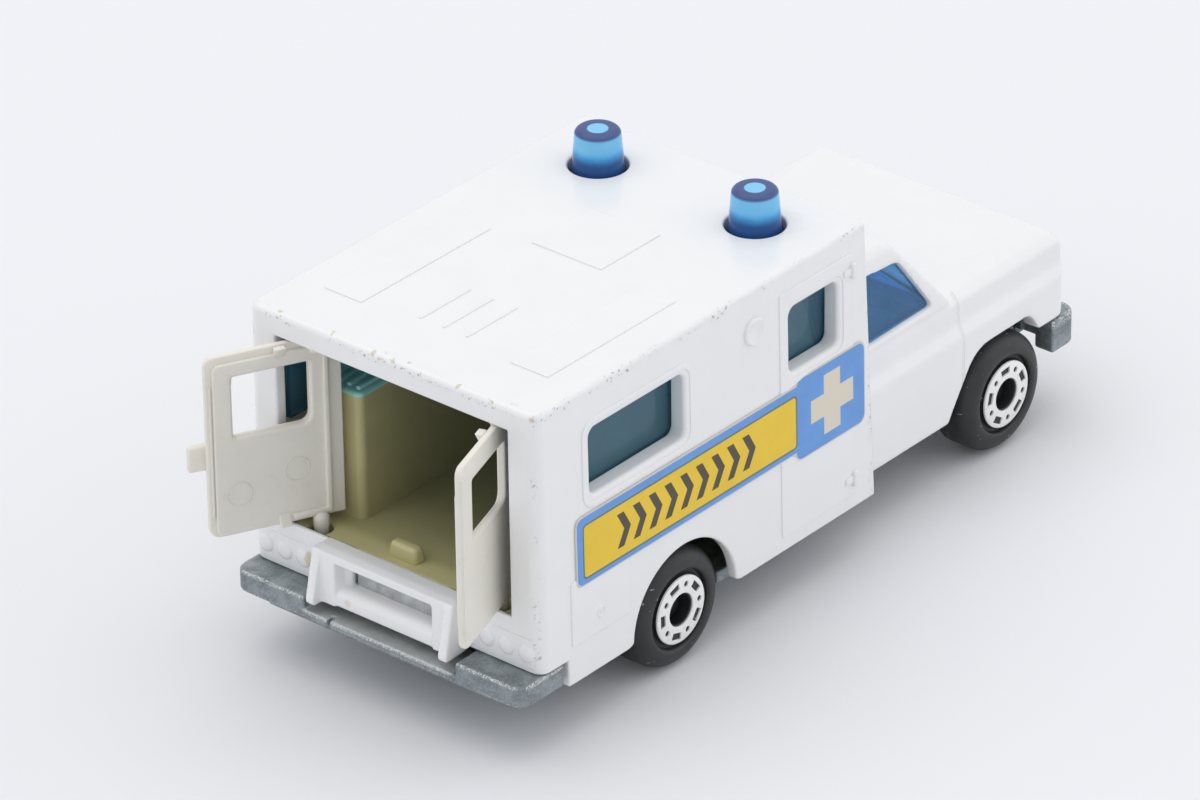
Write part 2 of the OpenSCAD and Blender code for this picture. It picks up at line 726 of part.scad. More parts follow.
// One door, closed and on the left, with its hinge axis at the origin
module door_leaf() {
    outer = -leaf_back;
    inner = outer + door_t;
    win_free = 2.3 - leaf_reach;
    win_high = door_high - 2.1;
    difference() {
        union() {
            block([outer, -leaf_reach, door_low], [inner, leaf_tail, door_high]);
            // Hinge barrel, then the pins above and below it
            for (z = [door_low, door_high - 1.2])
                translate([0, 0, z]) cylinder(r = pin_r + 0.15, h = 1.2);
            translate([0, 0, pin_low]) cylinder(r = pin_r, h = door_low - pin_low + 0.2);
            translate([0, 0, door_high - 0.2])
                cylinder(r = pin_r, h = roof_in_z + pin_up - door_high + 0.2);
            // Stiffening ridge beside the window
            block([inner - 0.2, 0.5, door_low + 1.6], [inner + 0.3, 1, door_high - 1.6]);
        }
        block([outer - cut, win_free, win_high - door_win_h],
              [inner + cut, win_free + door_win_w, win_high]);
    }
}

// Finger tab that laps over the other door
module finger_tab() {
    lap = 0.15;
    out = leaf_back + 0.9;
    high = 2.1;
    z = (door_low + door_high - high) / 2 - 1.1;
    block([-out, -leaf_reach - 1.3, z], [-leaf_back - lap, 1.2 - leaf_reach, z + high]);
    block([-out, -leaf_reach, z], [0.2 - leaf_back, 1.2 - leaf_reach, z + high]);
}

module left_rear_door() color("antiquewhite") {
    translate([hinge_x, hinge_y, 0]) rotate([0, 0, -left_open]) {
        door_leaf();
        finger_tab();
    }
}

module right_rear_door() color("antiquewhite") {
    translate([hinge_x, -hinge_y, 0]) rotate([0, 0, right_open]) mirror([0, 1, 0]) door_leaf();
}

// Wheel lying on its inner face, axis up
module wheel() {
    w = wheel_w;
    hub_r = hub_d / 2;
    tread = 0.5;
    side = 1.3;
    rotate_extrude($fn = 96) polygon(concat(
        [[axle_hole_r, 0]],
        arc([wheel_r - tread, tread], tread, -90, 0),
        arc([wheel_r - side, w - side - 0.1], side, 0, 90),
        [[hub_r + 0.55, w - 0.1], [hub_r + 0.25, w - 0.7], [hub_r, w - 0.7], [hub_r, w],
         [cup_d / 2, w], [cup_d / 2, w - cup_depth], [axle_hole_r, w - cup_depth]]));
}

// Wheel in place: s is 1 on the left and -1 on the right
module placed_wheel(x, track, s) {
    color("dimgray") translate([x, s * (track / 2 - wheel_w), axle_z]) rotate([s * -90, 0, 0]) wheel();
}

module axle(x, track) {
    half = track / 2 - head_sink;
    color("silver") translate([x, 0, axle_z]) rotate([90, 0, 0]) {
        cylinder(d = axle_d, h = 2 * half, center = true);
        for (s = [-1, 1])
            translate([0, 0, s * (half - head_t / 2)]) cylinder(r = head_r, h = head_t, center = true);
    }
}

module label(s) {
    x0 = rear_x + label_x;
    x1 = front_x - label_front;
    flare = x1 - label_flare;
    low = side_win_z - label_gap - label_h;
    outline = [
        [x0, low + 0.5], [x0 + 0.5, low], [flare + 0.6, low], [flare + 1.6, low - 0.85],
        [x1 - 0.7, low - 0.85], [x1, low - 0.1],
        [x1, low + label_h - 0.2], [x1 - 0.7, low + label_h + 0.5],
        [flare + 2.4, low + label_h + 0.5], [flare, low + label_h], [x0 + 0.5, low + label_h],
        [x0, low + label_h - 0.5]];
    on_wall(s) along_y(min(0, s * label_t), max(0, s * label_t), outline);
}

module left_label() color("cornflowerblue") label(1);

module right_label() color("cornflowerblue") label(-1);

module front_axle() axle(front_axle_x, front_track);

module rear_axle() axle(rear_axle_x, rear_track);

module front_left_wheel() placed_wheel(front_axle_x, front_track, 1);

module front_right_wheel() placed_wheel(front_axle_x, front_track, -1);

module rear_left_wheel() placed_wheel(rear_axle_x, rear_track, 1);

module rear_right_wheel() placed_wheel(rear_axle_x, rear_track, -1);

body_shell();
base_plate();
window_moulding();
interior_moulding();
left_rear_door();
right_rear_door();
front_axle();
rear_axle();
front_left_wheel();
front_right_wheel();
rear_left_wheel();
rear_right_wheel();
left_label();
right_label();
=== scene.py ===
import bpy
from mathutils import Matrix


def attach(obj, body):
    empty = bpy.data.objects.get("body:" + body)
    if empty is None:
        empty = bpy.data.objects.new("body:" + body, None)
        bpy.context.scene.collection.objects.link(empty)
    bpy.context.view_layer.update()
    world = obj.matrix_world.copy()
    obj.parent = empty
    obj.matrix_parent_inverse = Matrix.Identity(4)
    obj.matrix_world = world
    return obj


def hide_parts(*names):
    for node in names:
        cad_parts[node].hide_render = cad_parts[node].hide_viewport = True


bl_info = {
    "name": "Toy Ambulance",
    "version": (1, 0, 0),
    "blender": (4, 5, 0),
    "location": "3D View > Sidebar > Ambulance",
    "description": "Dresses the solids of a die-cast toy ambulance with its finished pieces",
    "category": "Object",
}

import math

import bmesh
import bpy
from bpy.props import FloatProperty, FloatVectorProperty, IntProperty, PointerProperty
from mathutils import Matrix, Vector

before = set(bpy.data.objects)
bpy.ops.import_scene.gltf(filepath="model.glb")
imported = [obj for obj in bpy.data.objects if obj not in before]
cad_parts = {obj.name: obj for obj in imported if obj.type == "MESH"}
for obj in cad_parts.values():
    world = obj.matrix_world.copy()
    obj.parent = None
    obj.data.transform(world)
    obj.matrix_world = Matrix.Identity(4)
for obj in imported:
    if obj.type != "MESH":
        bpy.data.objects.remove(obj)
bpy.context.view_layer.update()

# Main sizes in millimetres, as in the solids
MM = 0.001
REAR, FRONT, FRONT_TOP = -40.35, 2.45, 1.4
SKIRT, TAIL, SILL, LINTEL, ROOF_IN, ROOF = 5.15, 7.6, 11.5, 29.15, 29.8, 31.3
HALF, HALF_TOP, HALF_IN = 15.5, 15.135, 13.635
REAR_IN, FRONT_IN, OPEN_HALF = -39.15, -0.1, 12.25
AXLE_X, AXLE_Z, WHEEL_R, WHEEL_W = 22.35, 5.35, 5.35, 4.0
REAR_FACE, FRONT_FACE = 15.0, 14.0
HINGE_X, HINGE_Y = -38.4, 9.6
NOSE, CAB_HALF, CAB_IN = 30.95, 13.9, 12.1
BEACON_X, BEACON_Y = -4.55, 8.35
WINDOWS = ((-33.75, -21.95), (-8.55, -2.25))
WINDOW_LOW, WINDOW_HIGH = 21.35, 27.3
FLOOR = 11.4
LABEL_REAR, LABEL_FRONT, LABEL_LOW, LABEL_HIGH = -35.95, 0.95, 13.75, 20.1
LABEL_DROP, LABEL_RISE = 0.85, 0.5

# Angles in degrees: the lean of the side walls and how far each rear door stands open
LEAN = 0.8
LEFT_OPEN, RIGHT_OPEN = 117, 108


class AmbulanceSizes(bpy.types.PropertyGroup):
    """Sizes of the finish that a user may change"""

    soft_edge: FloatProperty(name="Soft edge", description="Radius of the painted casting's edges",
                             default=0.22 * MM, unit="LENGTH", precision=5)
    zinc_edge: FloatProperty(name="Bare metal edge", description="Radius of the bare casting's edges",
                             default=0.24 * MM, unit="LENGTH", precision=5)
    chips: FloatProperty(name="Paint chips", description="Amount of chipping on the rear roof edge",
                         default=0.38, min=0, max=1, subtype="FACTOR")
    wheel_steps: IntProperty(name="Wheel steps", description="Faces round each wheel",
                             default=96, min=24)


def colour(name, description, value):
    """One colour that a user may change."""
    return FloatVectorProperty(name=name, description=description, default=value, size=3,
                               min=0, max=1, subtype="COLOR")


class AmbulanceColours(bpy.types.PropertyGroup):
    """Colours of the finishes that a user may change"""

    enamel: colour("Enamel", "White paint of the casting", (0.86, 0.862, 0.87))
    primer: colour("Primer", "Tan that shows where the paint is chipped", (0.56, 0.48, 0.36))
    zinc: colour("Zinc", "Bare cast metal", (0.27, 0.302, 0.316))
    bright_zinc: colour("Bright zinc", "Rubbed edges of the bare metal", (0.62, 0.63, 0.62))
    door: colour("Door", "Off-white door plastic", (0.83, 0.79, 0.715))
    interior: colour("Interior", "Olive interior plastic", (0.5, 0.46, 0.235))
    teal: colour("Teal", "Locker lid where blue light falls on it", (0.36, 0.74, 0.68))
    blue: colour("Blue", "Clear blue plastic of the windows", (0.17, 0.46, 0.63))
    # The cab windows are the same plastic as the box windows; their lighter blue is painted light
    lit_cab_blue: colour("Cab blue", "Clear blue plastic of the cab windows", (0.17, 0.53, 1.0))
    beacon: colour("Beacon", "Clear blue plastic of the beacons", (0.09, 0.5, 1.0))
    beacon_deep: colour("Beacon shade", "Foot of the beacons", (0.025, 0.1, 0.32))
    beacon_rim: colour("Beacon rim", "Flat top of the beacons round the core", (0.08, 0.115, 0.29))
    beacon_core: colour("Beacon core", "Light that the beacons' hollow cores catch", (0.27, 0.69, 1.0))
    tyre: colour("Tyre", "Black wheel plastic", (0.015, 0.016, 0.018))
    hub: colour("Hub", "Pale print on the hubs", (0.9, 0.9, 0.9))
    # Near-black: painted shade of the hollow hub centre, where the axle head shows
    steel: colour("Steel", "Blackened axle wire", (0.008, 0.008, 0.009))
    label_blue: colour("Label blue", "Ground of the labels", (0.13, 0.31, 0.68))
    label_yellow: colour("Label yellow", "Panel of the labels", (0.85, 0.58, 0.035))
    label_cream: colour("Label cream", "Cross and paper edge of the labels", (0.73, 0.66, 0.56))
    label_dark: colour("Label dark", "Chevrons of the labels", (0.075, 0.06, 0.035))
    floor: colour("Floor", "Studio floor", (0.83, 0.835, 0.862))


def sizes():
    return bpy.context.scene.ambulance_sizes


def shade(name):
    return tuple(getattr(bpy.context.scene.ambulance_colours, name))


# Selecting and placing

def clear_selection():
    if bpy.context.mode != "OBJECT":
        bpy.ops.object.mode_set(mode="OBJECT")
    bpy.ops.object.select_all(action="DESELECT")


def take(piece):
    """Selects one piece alone and makes it active."""
    clear_selection()
    piece.select_set(True)
    bpy.context.view_layer.objects.active = piece
    return piece


def named(piece, name):
    piece.name = piece.data.name = name
    return piece


def apply_place(piece, matrix=None):
    """Moves a piece's place into its mesh."""
    take(piece)
    if matrix is not None:
        piece.matrix_world = matrix @ piece.matrix_world
    bpy.ops.object.transform_apply(location=True, rotation=True, scale=True)
    return piece


def at(x, y, z):
    """A place in millimetres."""
    return Matrix.Translation(Vector((x, y, z)) * MM)


def turn_by(degrees, axis):
    """A turn about an axis through the origin."""
    return Matrix.Rotation(math.radians(degrees), 4, axis)


def onto_wall(piece):
    """Leans a plate drawn in X and Z against the right wall of the box."""
    return apply_place(piece, at(0, -HALF, SKIRT) @ turn_by(-LEAN, "X") @ at(0, 0, -SKIRT))


def discard(piece):
    mesh = piece.data
    bpy.data.objects.remove(piece)
    bpy.data.meshes.remove(mesh)


class Editing:
    """Edit mode on one piece, with its parts picked by a test on their middle in millimetres."""

    MODES = {"verts": "VERT", "edges": "EDGE"}

    def __init__(self, piece):
        self.piece = take(piece)

    def __enter__(self):
        bpy.ops.object.mode_set(mode="EDIT")
        return self

    def __exit__(self, *error):
        bpy.ops.object.mode_set(mode="OBJECT")

    def everything(self):
        bpy.ops.mesh.select_all(action="SELECT")

    def pick(self, kind, test):
        """Selects the vertices or edges that pass the test, and nothing else."""
        bpy.ops.mesh.select_all(action="DESELECT")
        bpy.ops.mesh.select_mode(type=self.MODES[kind])
        mesh = bmesh.from_edit_mesh(self.piece.data)
        for item in getattr(mesh, kind):
            points = [item.co] if kind == "verts" else [v.co for v in item.verts]
            item.select_set(bool(test(sum(points, Vector()) / len(points) / MM, item)))
        mesh.select_flush_mode()
        bmesh.update_edit_mesh(self.piece.data)
        return self

    def move(self, x=0.0, y=0.0):
        bpy.ops.transform.translate(value=(x * MM, y * MM, 0))
        return self

    def bevel(self, width, segments):
        bpy.ops.mesh.bevel(offset=width * MM, segments=segments, affect="EDGES", clamp_overlap=False)
        return self

    def tidy(self):
        """Merges doubles, drops needless edges on flats and turns the faces outwards."""
        self.everything()
        bpy.ops.mesh.remove_doubles(threshold=2e-6)
        bpy.ops.mesh.dissolve_limited(angle_limit=math.radians(0.5))
        self.everything()
        bpy.ops.mesh.normals_make_consistent(inside=False)


# Outlines in millimetres

def arc(across, up, radius, start, end, steps=6):
    """Points along an arc between two angles in degrees."""
    turn = [math.radians(start + (end - start) * i / steps) for i in range(steps + 1)]
    return [(across + radius * math.cos(a), up + radius * math.sin(a)) for a in turn]


def rounded(x0, y0, x1, y1, radius, steps=5):
    """A rectangle with round corners."""
    return (arc(x0 + radius, y0 + radius, radius, 180, 270, steps)
            + arc(x1 - radius, y0 + radius, radius, 270, 360, steps)
            + arc(x1 - radius, y1 - radius, radius, 0, 90, steps)
            + arc(x0 + radius, y1 - radius, radius, 90, 180, steps))


def eased(points, reach, steps=4):
    """An outline with its corners rounded off, by one reach or by one for each corner."""
    result = []
    for i, here in enumerate(points):
        here = Vector(here)
        back, on = Vector(points[i - 1]) - here, Vector(points[(i + 1) % len(points)]) - here
        wanted = reach[i] if isinstance(reach, (list, tuple)) else reach
        near = min(wanted, back.length * 0.48, on.length * 0.48)
        a, b = here + back.normalized() * near, here + on.normalized() * near
        for k in range(steps + 1):
            t = k / steps
            result.append(tuple(a * (1 - t) ** 2 + here * (2 * t * (1 - t)) + b * t * t))
    return result


def both_halves(half):
    """A half outline and its mirror image."""
    return half + [(-a, b) for a, b in reversed(half)]


def lift(plane, a, b, level):
    """A point of an outline, put in its plane."""
    spots = {"XY": (a, b, level), "XZ": (a, level, b), "YZ": (level, a, b)}
    return Vector(spots[plane]) * MM


# Solids that pieces start from

def block(name, low, high):
    """A cube between two corners."""
    clear_selection()
    low, high = Vector(low) * MM, Vector(high) * MM
    bpy.ops.mesh.primitive_cube_add(size=1, location=(low + high) / 2)
    piece = named(bpy.context.object, name)
    piece.scale = high - low
    return apply_place(piece)


def drum(name, centre, radius, height, axis, sides):
    """A cylinder about an axis through its centre."""
    clear_selection()
    turn = {"Y": (math.pi / 2, 0, 0), "Z": (0, 0, 0)}[axis]
    bpy.ops.mesh.primitive_cylinder_add(vertices=sides, radius=radius * MM, depth=height * MM,
                                        location=Vector(centre) * MM, rotation=turn)
    return apply_place(named(bpy.context.object, name))


def trace(name, outline, plane, level):
    """One vertex extruded along an outline; the piece is left in edit mode."""
    clear_selection()
    bpy.ops.mesh.primitive_plane_add(size=MM)
    piece = named(bpy.context.object, name)
    bpy.ops.object.mode_set(mode="EDIT")
    bpy.ops.mesh.select_mode(type="VERT")
    bpy.ops.mesh.select_all(action="SELECT")
    bpy.ops.mesh.merge(type="CENTER")
    corners = [lift(plane, a, b, level) for a, b in outline]
    bpy.ops.transform.translate(value=corners[0])
    for last, here in zip(corners, corners[1:]):
        bpy.ops.mesh.extrude_vertices_move(TRANSFORM_OT_translate={"value": here - last})
    return piece, corners


def prism(name, outline, plane, start, end):
    """An outline filled and extruded square to its plane."""
    piece, corners = trace(name, outline, plane, start)
    mesh = bmesh.from_edit_mesh(piece.data)
    for vert in mesh.verts:
        vert.select_set(min((vert.co - corners[0]).length, (vert.co - corners[-1]).length) < 1e-7)
    mesh.select_flush_mode()
    bpy.ops.mesh.edge_face_add()
    bpy.ops.mesh.select_all(action="SELECT")
    bpy.ops.mesh.edge_face_add()
    bpy.ops.mesh.extrude_region_move(TRANSFORM_OT_translate={"value": lift(plane, 0, 0, end - start)})
    bpy.ops.mesh.select_all(action="SELECT")
    bpy.ops.mesh.normals_make_consistent(inside=False)
    bpy.ops.object.mode_set(mode="OBJECT")
    return piece


def turned(name, profile, steps):
    """A profile of radius and height spun about the Z axis."""
    piece, _ = trace(name, profile, "XZ", 0)
    bpy.ops.mesh.select_all(action="SELECT")
    bpy.ops.mesh.spin(steps=steps, angle=math.tau, center=(0, 0, 0), axis=(0, 0, 1))
    bpy.ops.mesh.select_all(action="SELECT")
    bpy.ops.mesh.remove_doubles(threshold=1e-6)
    bpy.ops.mesh.normals_make_consistent(inside=False)
    bpy.ops.object.mode_set(mode="OBJECT")
    return piece


# Shaping whole pieces

def carve(piece, *tools, how="DIFFERENCE"):
    """Cuts tools out of a piece, joins them to it or keeps what they share, and drops the tools."""
    for tool in tools:
        take(piece)
        change = piece.modifiers.new("Carve", "BOOLEAN")
        change.operation, change.object, change.solver = how, tool, "EXACT"
        bpy.ops.object.modifier_apply(modifier=change.name)
        discard(tool)
    return piece


def soften(piece, width, segments=3, limit=35):
    """Rounds every edge that is sharper than the limit in degrees, by a width in millimetres."""
    with Editing(piece) as edit:
        edit.tidy()
    soft = piece.modifiers.new("Soft edges", "BEVEL")
    soft.width, soft.segments = width * MM, segments
    soft.limit_method, soft.angle_limit = "ANGLE", math.radians(limit)
    soft.use_clamp_overlap = False
    bpy.ops.object.modifier_apply(modifier=soft.name)
    return piece


def cast(piece, grain, passes):
    """Remeshes a piece evenly and smooths it, so that its edges round off like a painted casting's."""
    take(piece)
    even = piece.modifiers.new("Even faces", "REMESH")
    even.mode, even.voxel_size = "VOXEL", grain * MM
    bpy.ops.object.modifier_apply(modifier=even.name)
    rounding = piece.modifiers.new("Rounding", "SMOOTH")
    rounding.factor, rounding.iterations = 0.5, passes
    bpy.ops.object.modifier_apply(modifier=rounding.name)
    return piece


def gather(name, pieces):
    """Joins pieces of one finish into one object."""
    take(pieces[0])
    for piece in pieces[1:]:
        piece.select_set(True)
    bpy.ops.object.join()
    return named(bpy.context.object, name)


def twin(piece, name):
    """A copy with its own mesh, mirrored to the other side."""
    take(piece)
    bpy.ops.object.duplicate()
    copy = named(bpy.context.object, name)
    apply_place(copy, Matrix.Scale(-1, 4, (0, 1, 0)))
    with Editing(copy) as edit:
        edit.everything()
        bpy.ops.mesh.flip_normals()
    return copy


def placed_copy(piece, name, matrix):
    """A copy with its own mesh, put in its place."""
    take(piece)
    bpy.ops.object.duplicate()
    return apply_place(named(bpy.context.object, name), matrix)


def dress(piece, look, body, nodes=(), angle=38, slivers=False):
    """Shades a piece, gives it its finish and sets it on the body that carries it."""
    take(piece)
    even = piece.modifiers.new("Many-sided faces", "TRIANGULATE")
    even.ngon_method, even.min_vertices = "BEAUTY", 5
    bpy.ops.object.modifier_apply(modifier=even.name)
    if slivers:
        # Faces of no area that cuts have left
        with Editing(piece) as edit:
            edit.everything()
            bpy.ops.mesh.dissolve_degenerate(threshold=1e-7)
        take(piece)
    bpy.ops.object.shade_smooth_by_angle(angle=math.radians(angle))
    flat = piece.modifiers.new("Flat faces", "WEIGHTED_NORMAL")
    flat.keep_sharp = True
    bpy.ops.object.modifier_apply(modifier=flat.name)
    piece.data.materials.clear()
    piece.data.materials.append(look.material)
    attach(piece, body)
    if nodes:
        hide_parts(*nodes)
    return piece


# Finishes

class Value:
    """A shader socket; each Python operator on it adds a Math node."""

    def __init__(self, owner, socket):
        self.owner, self.socket = owner, socket

    def math(self, operation, *others):
        return self.owner.node("Math", {"operation": operation}, dict(enumerate((self, *others))))

    def __add__(self, other):
        return self.math("ADD", other)

    def __sub__(self, other):
        return self.math("SUBTRACT", other)

    def __rsub__(self, other):
        return self.owner.node("Math", {"operation": "SUBTRACT"}, {0: other, 1: self})

    def __mul__(self, other):
        return self.math("MULTIPLY", other)

    def __truediv__(self, other):
        return self.math("DIVIDE", other)

    def __abs__(self):
        return self.math("ABSOLUTE")

    __radd__, __rmul__ = __add__, __mul__

    def least(self, other):
        return self.math("MINIMUM", other)

    def most(self, other):
        return self.math("MAXIMUM", other)

    def rise(self, low, high):
        """0 below low, 1 above high, smooth between."""
        return self.owner.node("MapRange", {"interpolation_type": "SMOOTHSTEP"},
                               {"Value": self, "From Min": low, "From Max": high})

    def fall(self, low, high):
        return 1 - self.rise(low, high)


class Finish:
    """A material with one Principled shader and the nodes that feed it."""

    def __init__(self, name, **constants):
        self.material = bpy.data.materials.new(name)
        self.material.use_nodes = True
        self.tree = self.material.node_tree
        self.shader = self.tree.nodes["Principled BSDF"]
        for socket, value in constants.items():
            self.shader.inputs[socket.replace("_", " ")].default_value = value
        place = self.node("TexCoord", output="Object")
        self.place = self.node("VectorMath", {"operation": "SCALE"}, {0: place, "Scale": 1 / MM})
        parts = self.tree.nodes.new("ShaderNodeSeparateXYZ")
        self.tree.links.new(self.place.socket, parts.inputs[0])
        self.x, self.y, self.z = (Value(self, out) for out in parts.outputs)

    def node(self, kind, settings=None, inputs=None, output=0):
        """Adds a node, sets it up, and fills or links its sockets."""
        node = self.tree.nodes.new("ShaderNode" + kind)
        for key, value in (settings or {}).items():
            setattr(node, key, value)
        for key, value in (inputs or {}).items():
            if isinstance(value, Value):
                self.tree.links.new(value.socket, node.inputs[key])
            else:
                node.inputs[key].default_value = value
        return Value(self, node.outputs[output])

    def noise(self, scale, detail=2.0, roughness=0.5, seed=0.0, stretch=None):
        where = self.place
        if stretch:
            where = self.node("VectorMath", {"operation": "MULTIPLY"}, {0: where, 1: stretch})
        return self.node("TexNoise", {"noise_dimensions": "4D"},
                         {"Vector": where, "W": seed, "Scale": scale, "Detail": detail,
                          "Roughness": roughness})

    def cells(self, scale, seed):
        where = self.node("VectorMath", {"operation": "ADD"}, {0: self.place, 1: seed})
        return self.node("TexVoronoi", None, {"Vector": where, "Scale": scale}, "Distance")

    def mix(self, amount, a, b):
        """Colour a where the amount is 0, and b where it is 1."""
        tones = [(*c, 1) if isinstance(c, tuple) else c for c in (a, b)]
        return self.node("Mix", {"data_type": "RGBA"}, {0: amount, 6: tones[0], 7: tones[1]}, 2)

    def feed(self, socket, value):
        self.tree.links.new(value.socket, self.shader.inputs[socket])

    def bump(self, height, depth, strength=1.0):
        """Roughens the surface by a height from 0 to 1 that stands for a depth in millimetres."""
        self.feed("Normal", self.node("Bump", None, {"Height": height, "Strength": strength,
                                                     "Distance": depth * MM}))

    def near(self, a, at_a, b, at_b, reach):
        """1 within reach of a straight edge, fading to 0 at twice the reach."""
        across, up = a - at_a, b - at_b
        return (across * across + up * up).math("SQRT").fall(reach, 2 * reach)


def toned(tone, factor):
    """A colour made darker by a factor below 1, or lighter by one above it."""
    return tuple(c * factor for c in tone)


def enamel_finish():
    f = Finish("Enamel", IOR=1.5, Coat_Weight=0.25, Coat_Roughness=0.08)
    chips = sizes().chips
    paint = f.mix(f.noise(0.25, 3).rise(0.35, 0.7), toned(shade("enamel"), 0.985), shade("enamel"))
    side = abs(f.y)
    # Small tan chips along the rear roof edge and a few on the tail
    rear_edge = f.near(f.x, REAR + 0.3, f.z, ROOF - 0.12, 0.34)
    blobs = f.noise(1.05, 2, 0.45, 3.7) + f.noise(3.5, 2, 0.5, 1.2) * 0.1
    chipped = rear_edge * blobs.rise(1.03 - chips, 1.06 - chips)
    wobble = f.y + f.noise(2.2, 2, 0.5, 9.1) * 0.7 - 0.35
    tail_chips = f.near(wobble, 9.1, f.z * 0.6, 5.76, 0.28)
    tail_chips = tail_chips.most(f.near(wobble, 3.9, f.z, 7.95, 0.22) * 0.6)
    chipped = chipped.most(tail_chips * f.x.fall(-40.2, -40.1))
    # Dark nicks along the long roof edges and the corners
    nicks = f.noise(3.4, 3, 0.65, 5.3).rise(0.56, 0.63)
    patches = f.noise(0.32, 2, 0.5, 2.2).rise(0.43, 0.55)
    long_edge = f.near(side, HALF_TOP - 0.02, f.z, ROOF - 0.45, 0.28)
    corner = f.near(f.x, REAR + 0.1, side, HALF - 0.6, 0.25)
    front_edge = f.near(f.x, FRONT - 0.6, side, HALF - 0.25, 0.28)
    back_edge = f.near(f.x, REAR + 0.02, f.z, ROOF - 0.5, 0.16)
    nicked = nicks * patches * long_edge.most(corner).most(front_edge).most(back_edge)
    aged = f.noise(0.09, 2, 0.5, 6.4).rise(0.55, 0.8) * 0.35
    paint = f.mix(aged, paint, toned(shade("enamel"), 0.96))
    bare = f.mix(f.noise(2.2, 2), shade("primer"), toned(shade("primer"), 1.35))
    worn = f.mix(chipped * 0.85, paint, bare)
    f.feed("Base Color", f.mix(nicked * 0.7, worn, (0.2, 0.205, 0.21)))
    f.feed("Roughness", 0.22 + f.noise(0.5, 3) * 0.07 + chipped.most(nicked) * 0.3)
    # Soft shut line ahead of the cab doors
    shut = abs(f.x - 16.4).fall(0.04, 0.2) * side.rise(12.2, 12.6)
    shut = shut * f.z.rise(8.6, 8.9) * f.z.fall(17.1, 17.5)
    f.bump(f.noise(1.1, 2, 0.4) * 0.1 - chipped * 0.12 - nicked * 0.13 - shut, 0.18, 0.5)
    return f


def zinc_finish():
    f = Finish("Zinc", Metallic=0.75, IOR=1.5)
    grain = f.noise(4.5, 4, 0.7)
    mottle = f.noise(0.8, 4, 0.6, 2.0)
    side = abs(f.y)
    speck = f.noise(6.5, 3, 0.75, 4.0)
    # Rubbed edges of the bumpers, and painted light on the zinc plate behind the tail step, which lies
    # in shade
    high = f.near(f.x, -42.78, f.z, 7.47, 0.12) * side.rise(7.4, 7.9)
    step = f.near(f.x, -42.78, f.z, 6.26, 0.13) * side.fall(7.6, 8.1)
    flank = f.near(side, 15.38, f.z, 7.48, 0.15) * f.x.fall(-36, -35.5)
    low = f.near(f.x, -42.78, f.z, 5.7, 0.15)
    nose = f.near(f.x, 32.2, f.z, 9.3, 0.3).most(f.near(side, 13.9, f.z, 9.3, 0.3) * f.x.rise(27, 28))
    # Painted light on the zinc plate in the tail recess, which lies in shade
    plate = f.z.rise(8.2, 8.4) * f.x.fall(-39, -38.5)
    rubbed_and_plate_light = high.most(step).most(flank).most(low * 0.6).most(nose)
    rubbed_and_plate_light = rubbed_and_plate_light * speck.rise(0.47, 0.6)
    rubbed_and_plate_light = rubbed_and_plate_light.most(plate * (0.35 + mottle.rise(0.3, 0.7) * 0.5 + grain * 0.2))
    # Brighter flecks, and painted light on the top of the bumper's low middle, which lies in shade
    # under the tail
    tread = f.z.rise(6.2, 6.3) * f.z.fall(6.4, 6.5) * side.fall(7.8, 8.3) * f.x.fall(-40.6, -40.3)
    flecks_and_step_light = (f.noise(9, 2, 0.6, 7.7).rise(0.66, 0.74) * 0.6).most(tread * 0.55)
    dull = f.mix(mottle.rise(0.3, 0.7), toned(shade("zinc"), 0.72), toned(shade("zinc"), 1.25))
    dull = f.mix(grain.rise(0.42, 0.7) * 0.5, dull, toned(shade("zinc"), 1.7))
    f.feed("Base Color", f.mix(rubbed_and_plate_light.most(flecks_and_step_light), dull, shade("bright_zinc")))
    f.feed("Roughness", 0.56 - rubbed_and_plate_light * 0.16 + mottle * 0.12)
    f.bump(grain * 0.6 + f.noise(1.7, 3, 0.6, 1.0), 0.06, 0.75)
    return f


def door_finish():
    f = Finish("Door_plastic", IOR=1.48, Subsurface_Weight=0.12, Subsurface_Scale=0.0008,
               Subsurface_Radius=(1.0, 0.8, 0.6))
    cloud = f.noise(0.22, 3, 0.5, 1.0)
    grime = f.noise(0.9, 4, 0.6, 8.0).rise(0.55, 0.8)
    tone = f.mix(cloud.rise(0.3, 0.7), shade("door"), toned(shade("door"), 0.965))
    f.feed("Base Color", f.mix(grime * 0.22, tone, (0.62, 0.53, 0.4)))
    f.feed("Roughness", 0.36 + cloud * 0.12)
    f.bump(f.noise(2.4, 3, 0.5) * 0.6 + cloud, 0.02, 0.4)
    return f


def interior_finish():
    f = Finish("Interior_plastic", IOR=1.48)
    cloud = f.noise(0.18, 3, 0.5, 2.0)
    dust = f.noise(5.0, 2, 0.6, 3.0).rise(0.7, 0.76)
    tone = f.mix(cloud.rise(0.3, 0.7), toned(shade("interior"), 0.93), toned(shade("interior"), 1.06))
    # Paler by the doorway, painted light, and darker deep inside, painted shade
    tone = f.mix(f.x.fall(-37.6, -36.2) * 0.6, tone, toned(shade("interior"), 1.45))
    tone = f.mix(f.x.rise(-36, -28) * 0.55, tone, toned(shade("interior"), 0.55))
    # Painted blue light on the locker lid, where light through the blue windows falls
    lid = f.z.rise(22.75, 22.95) * f.y.rise(7.4, 7.6)
    tone = f.mix(lid, tone, shade("teal"))
    f.feed("Base Color", f.mix(dust * 0.35, tone, (0.66, 0.64, 0.5)))
    f.feed("Roughness", 0.38 + cloud * 0.14)
    f.bump(f.noise(1.6, 3) + cloud * 0.5, 0.03, 0.5)
    return f


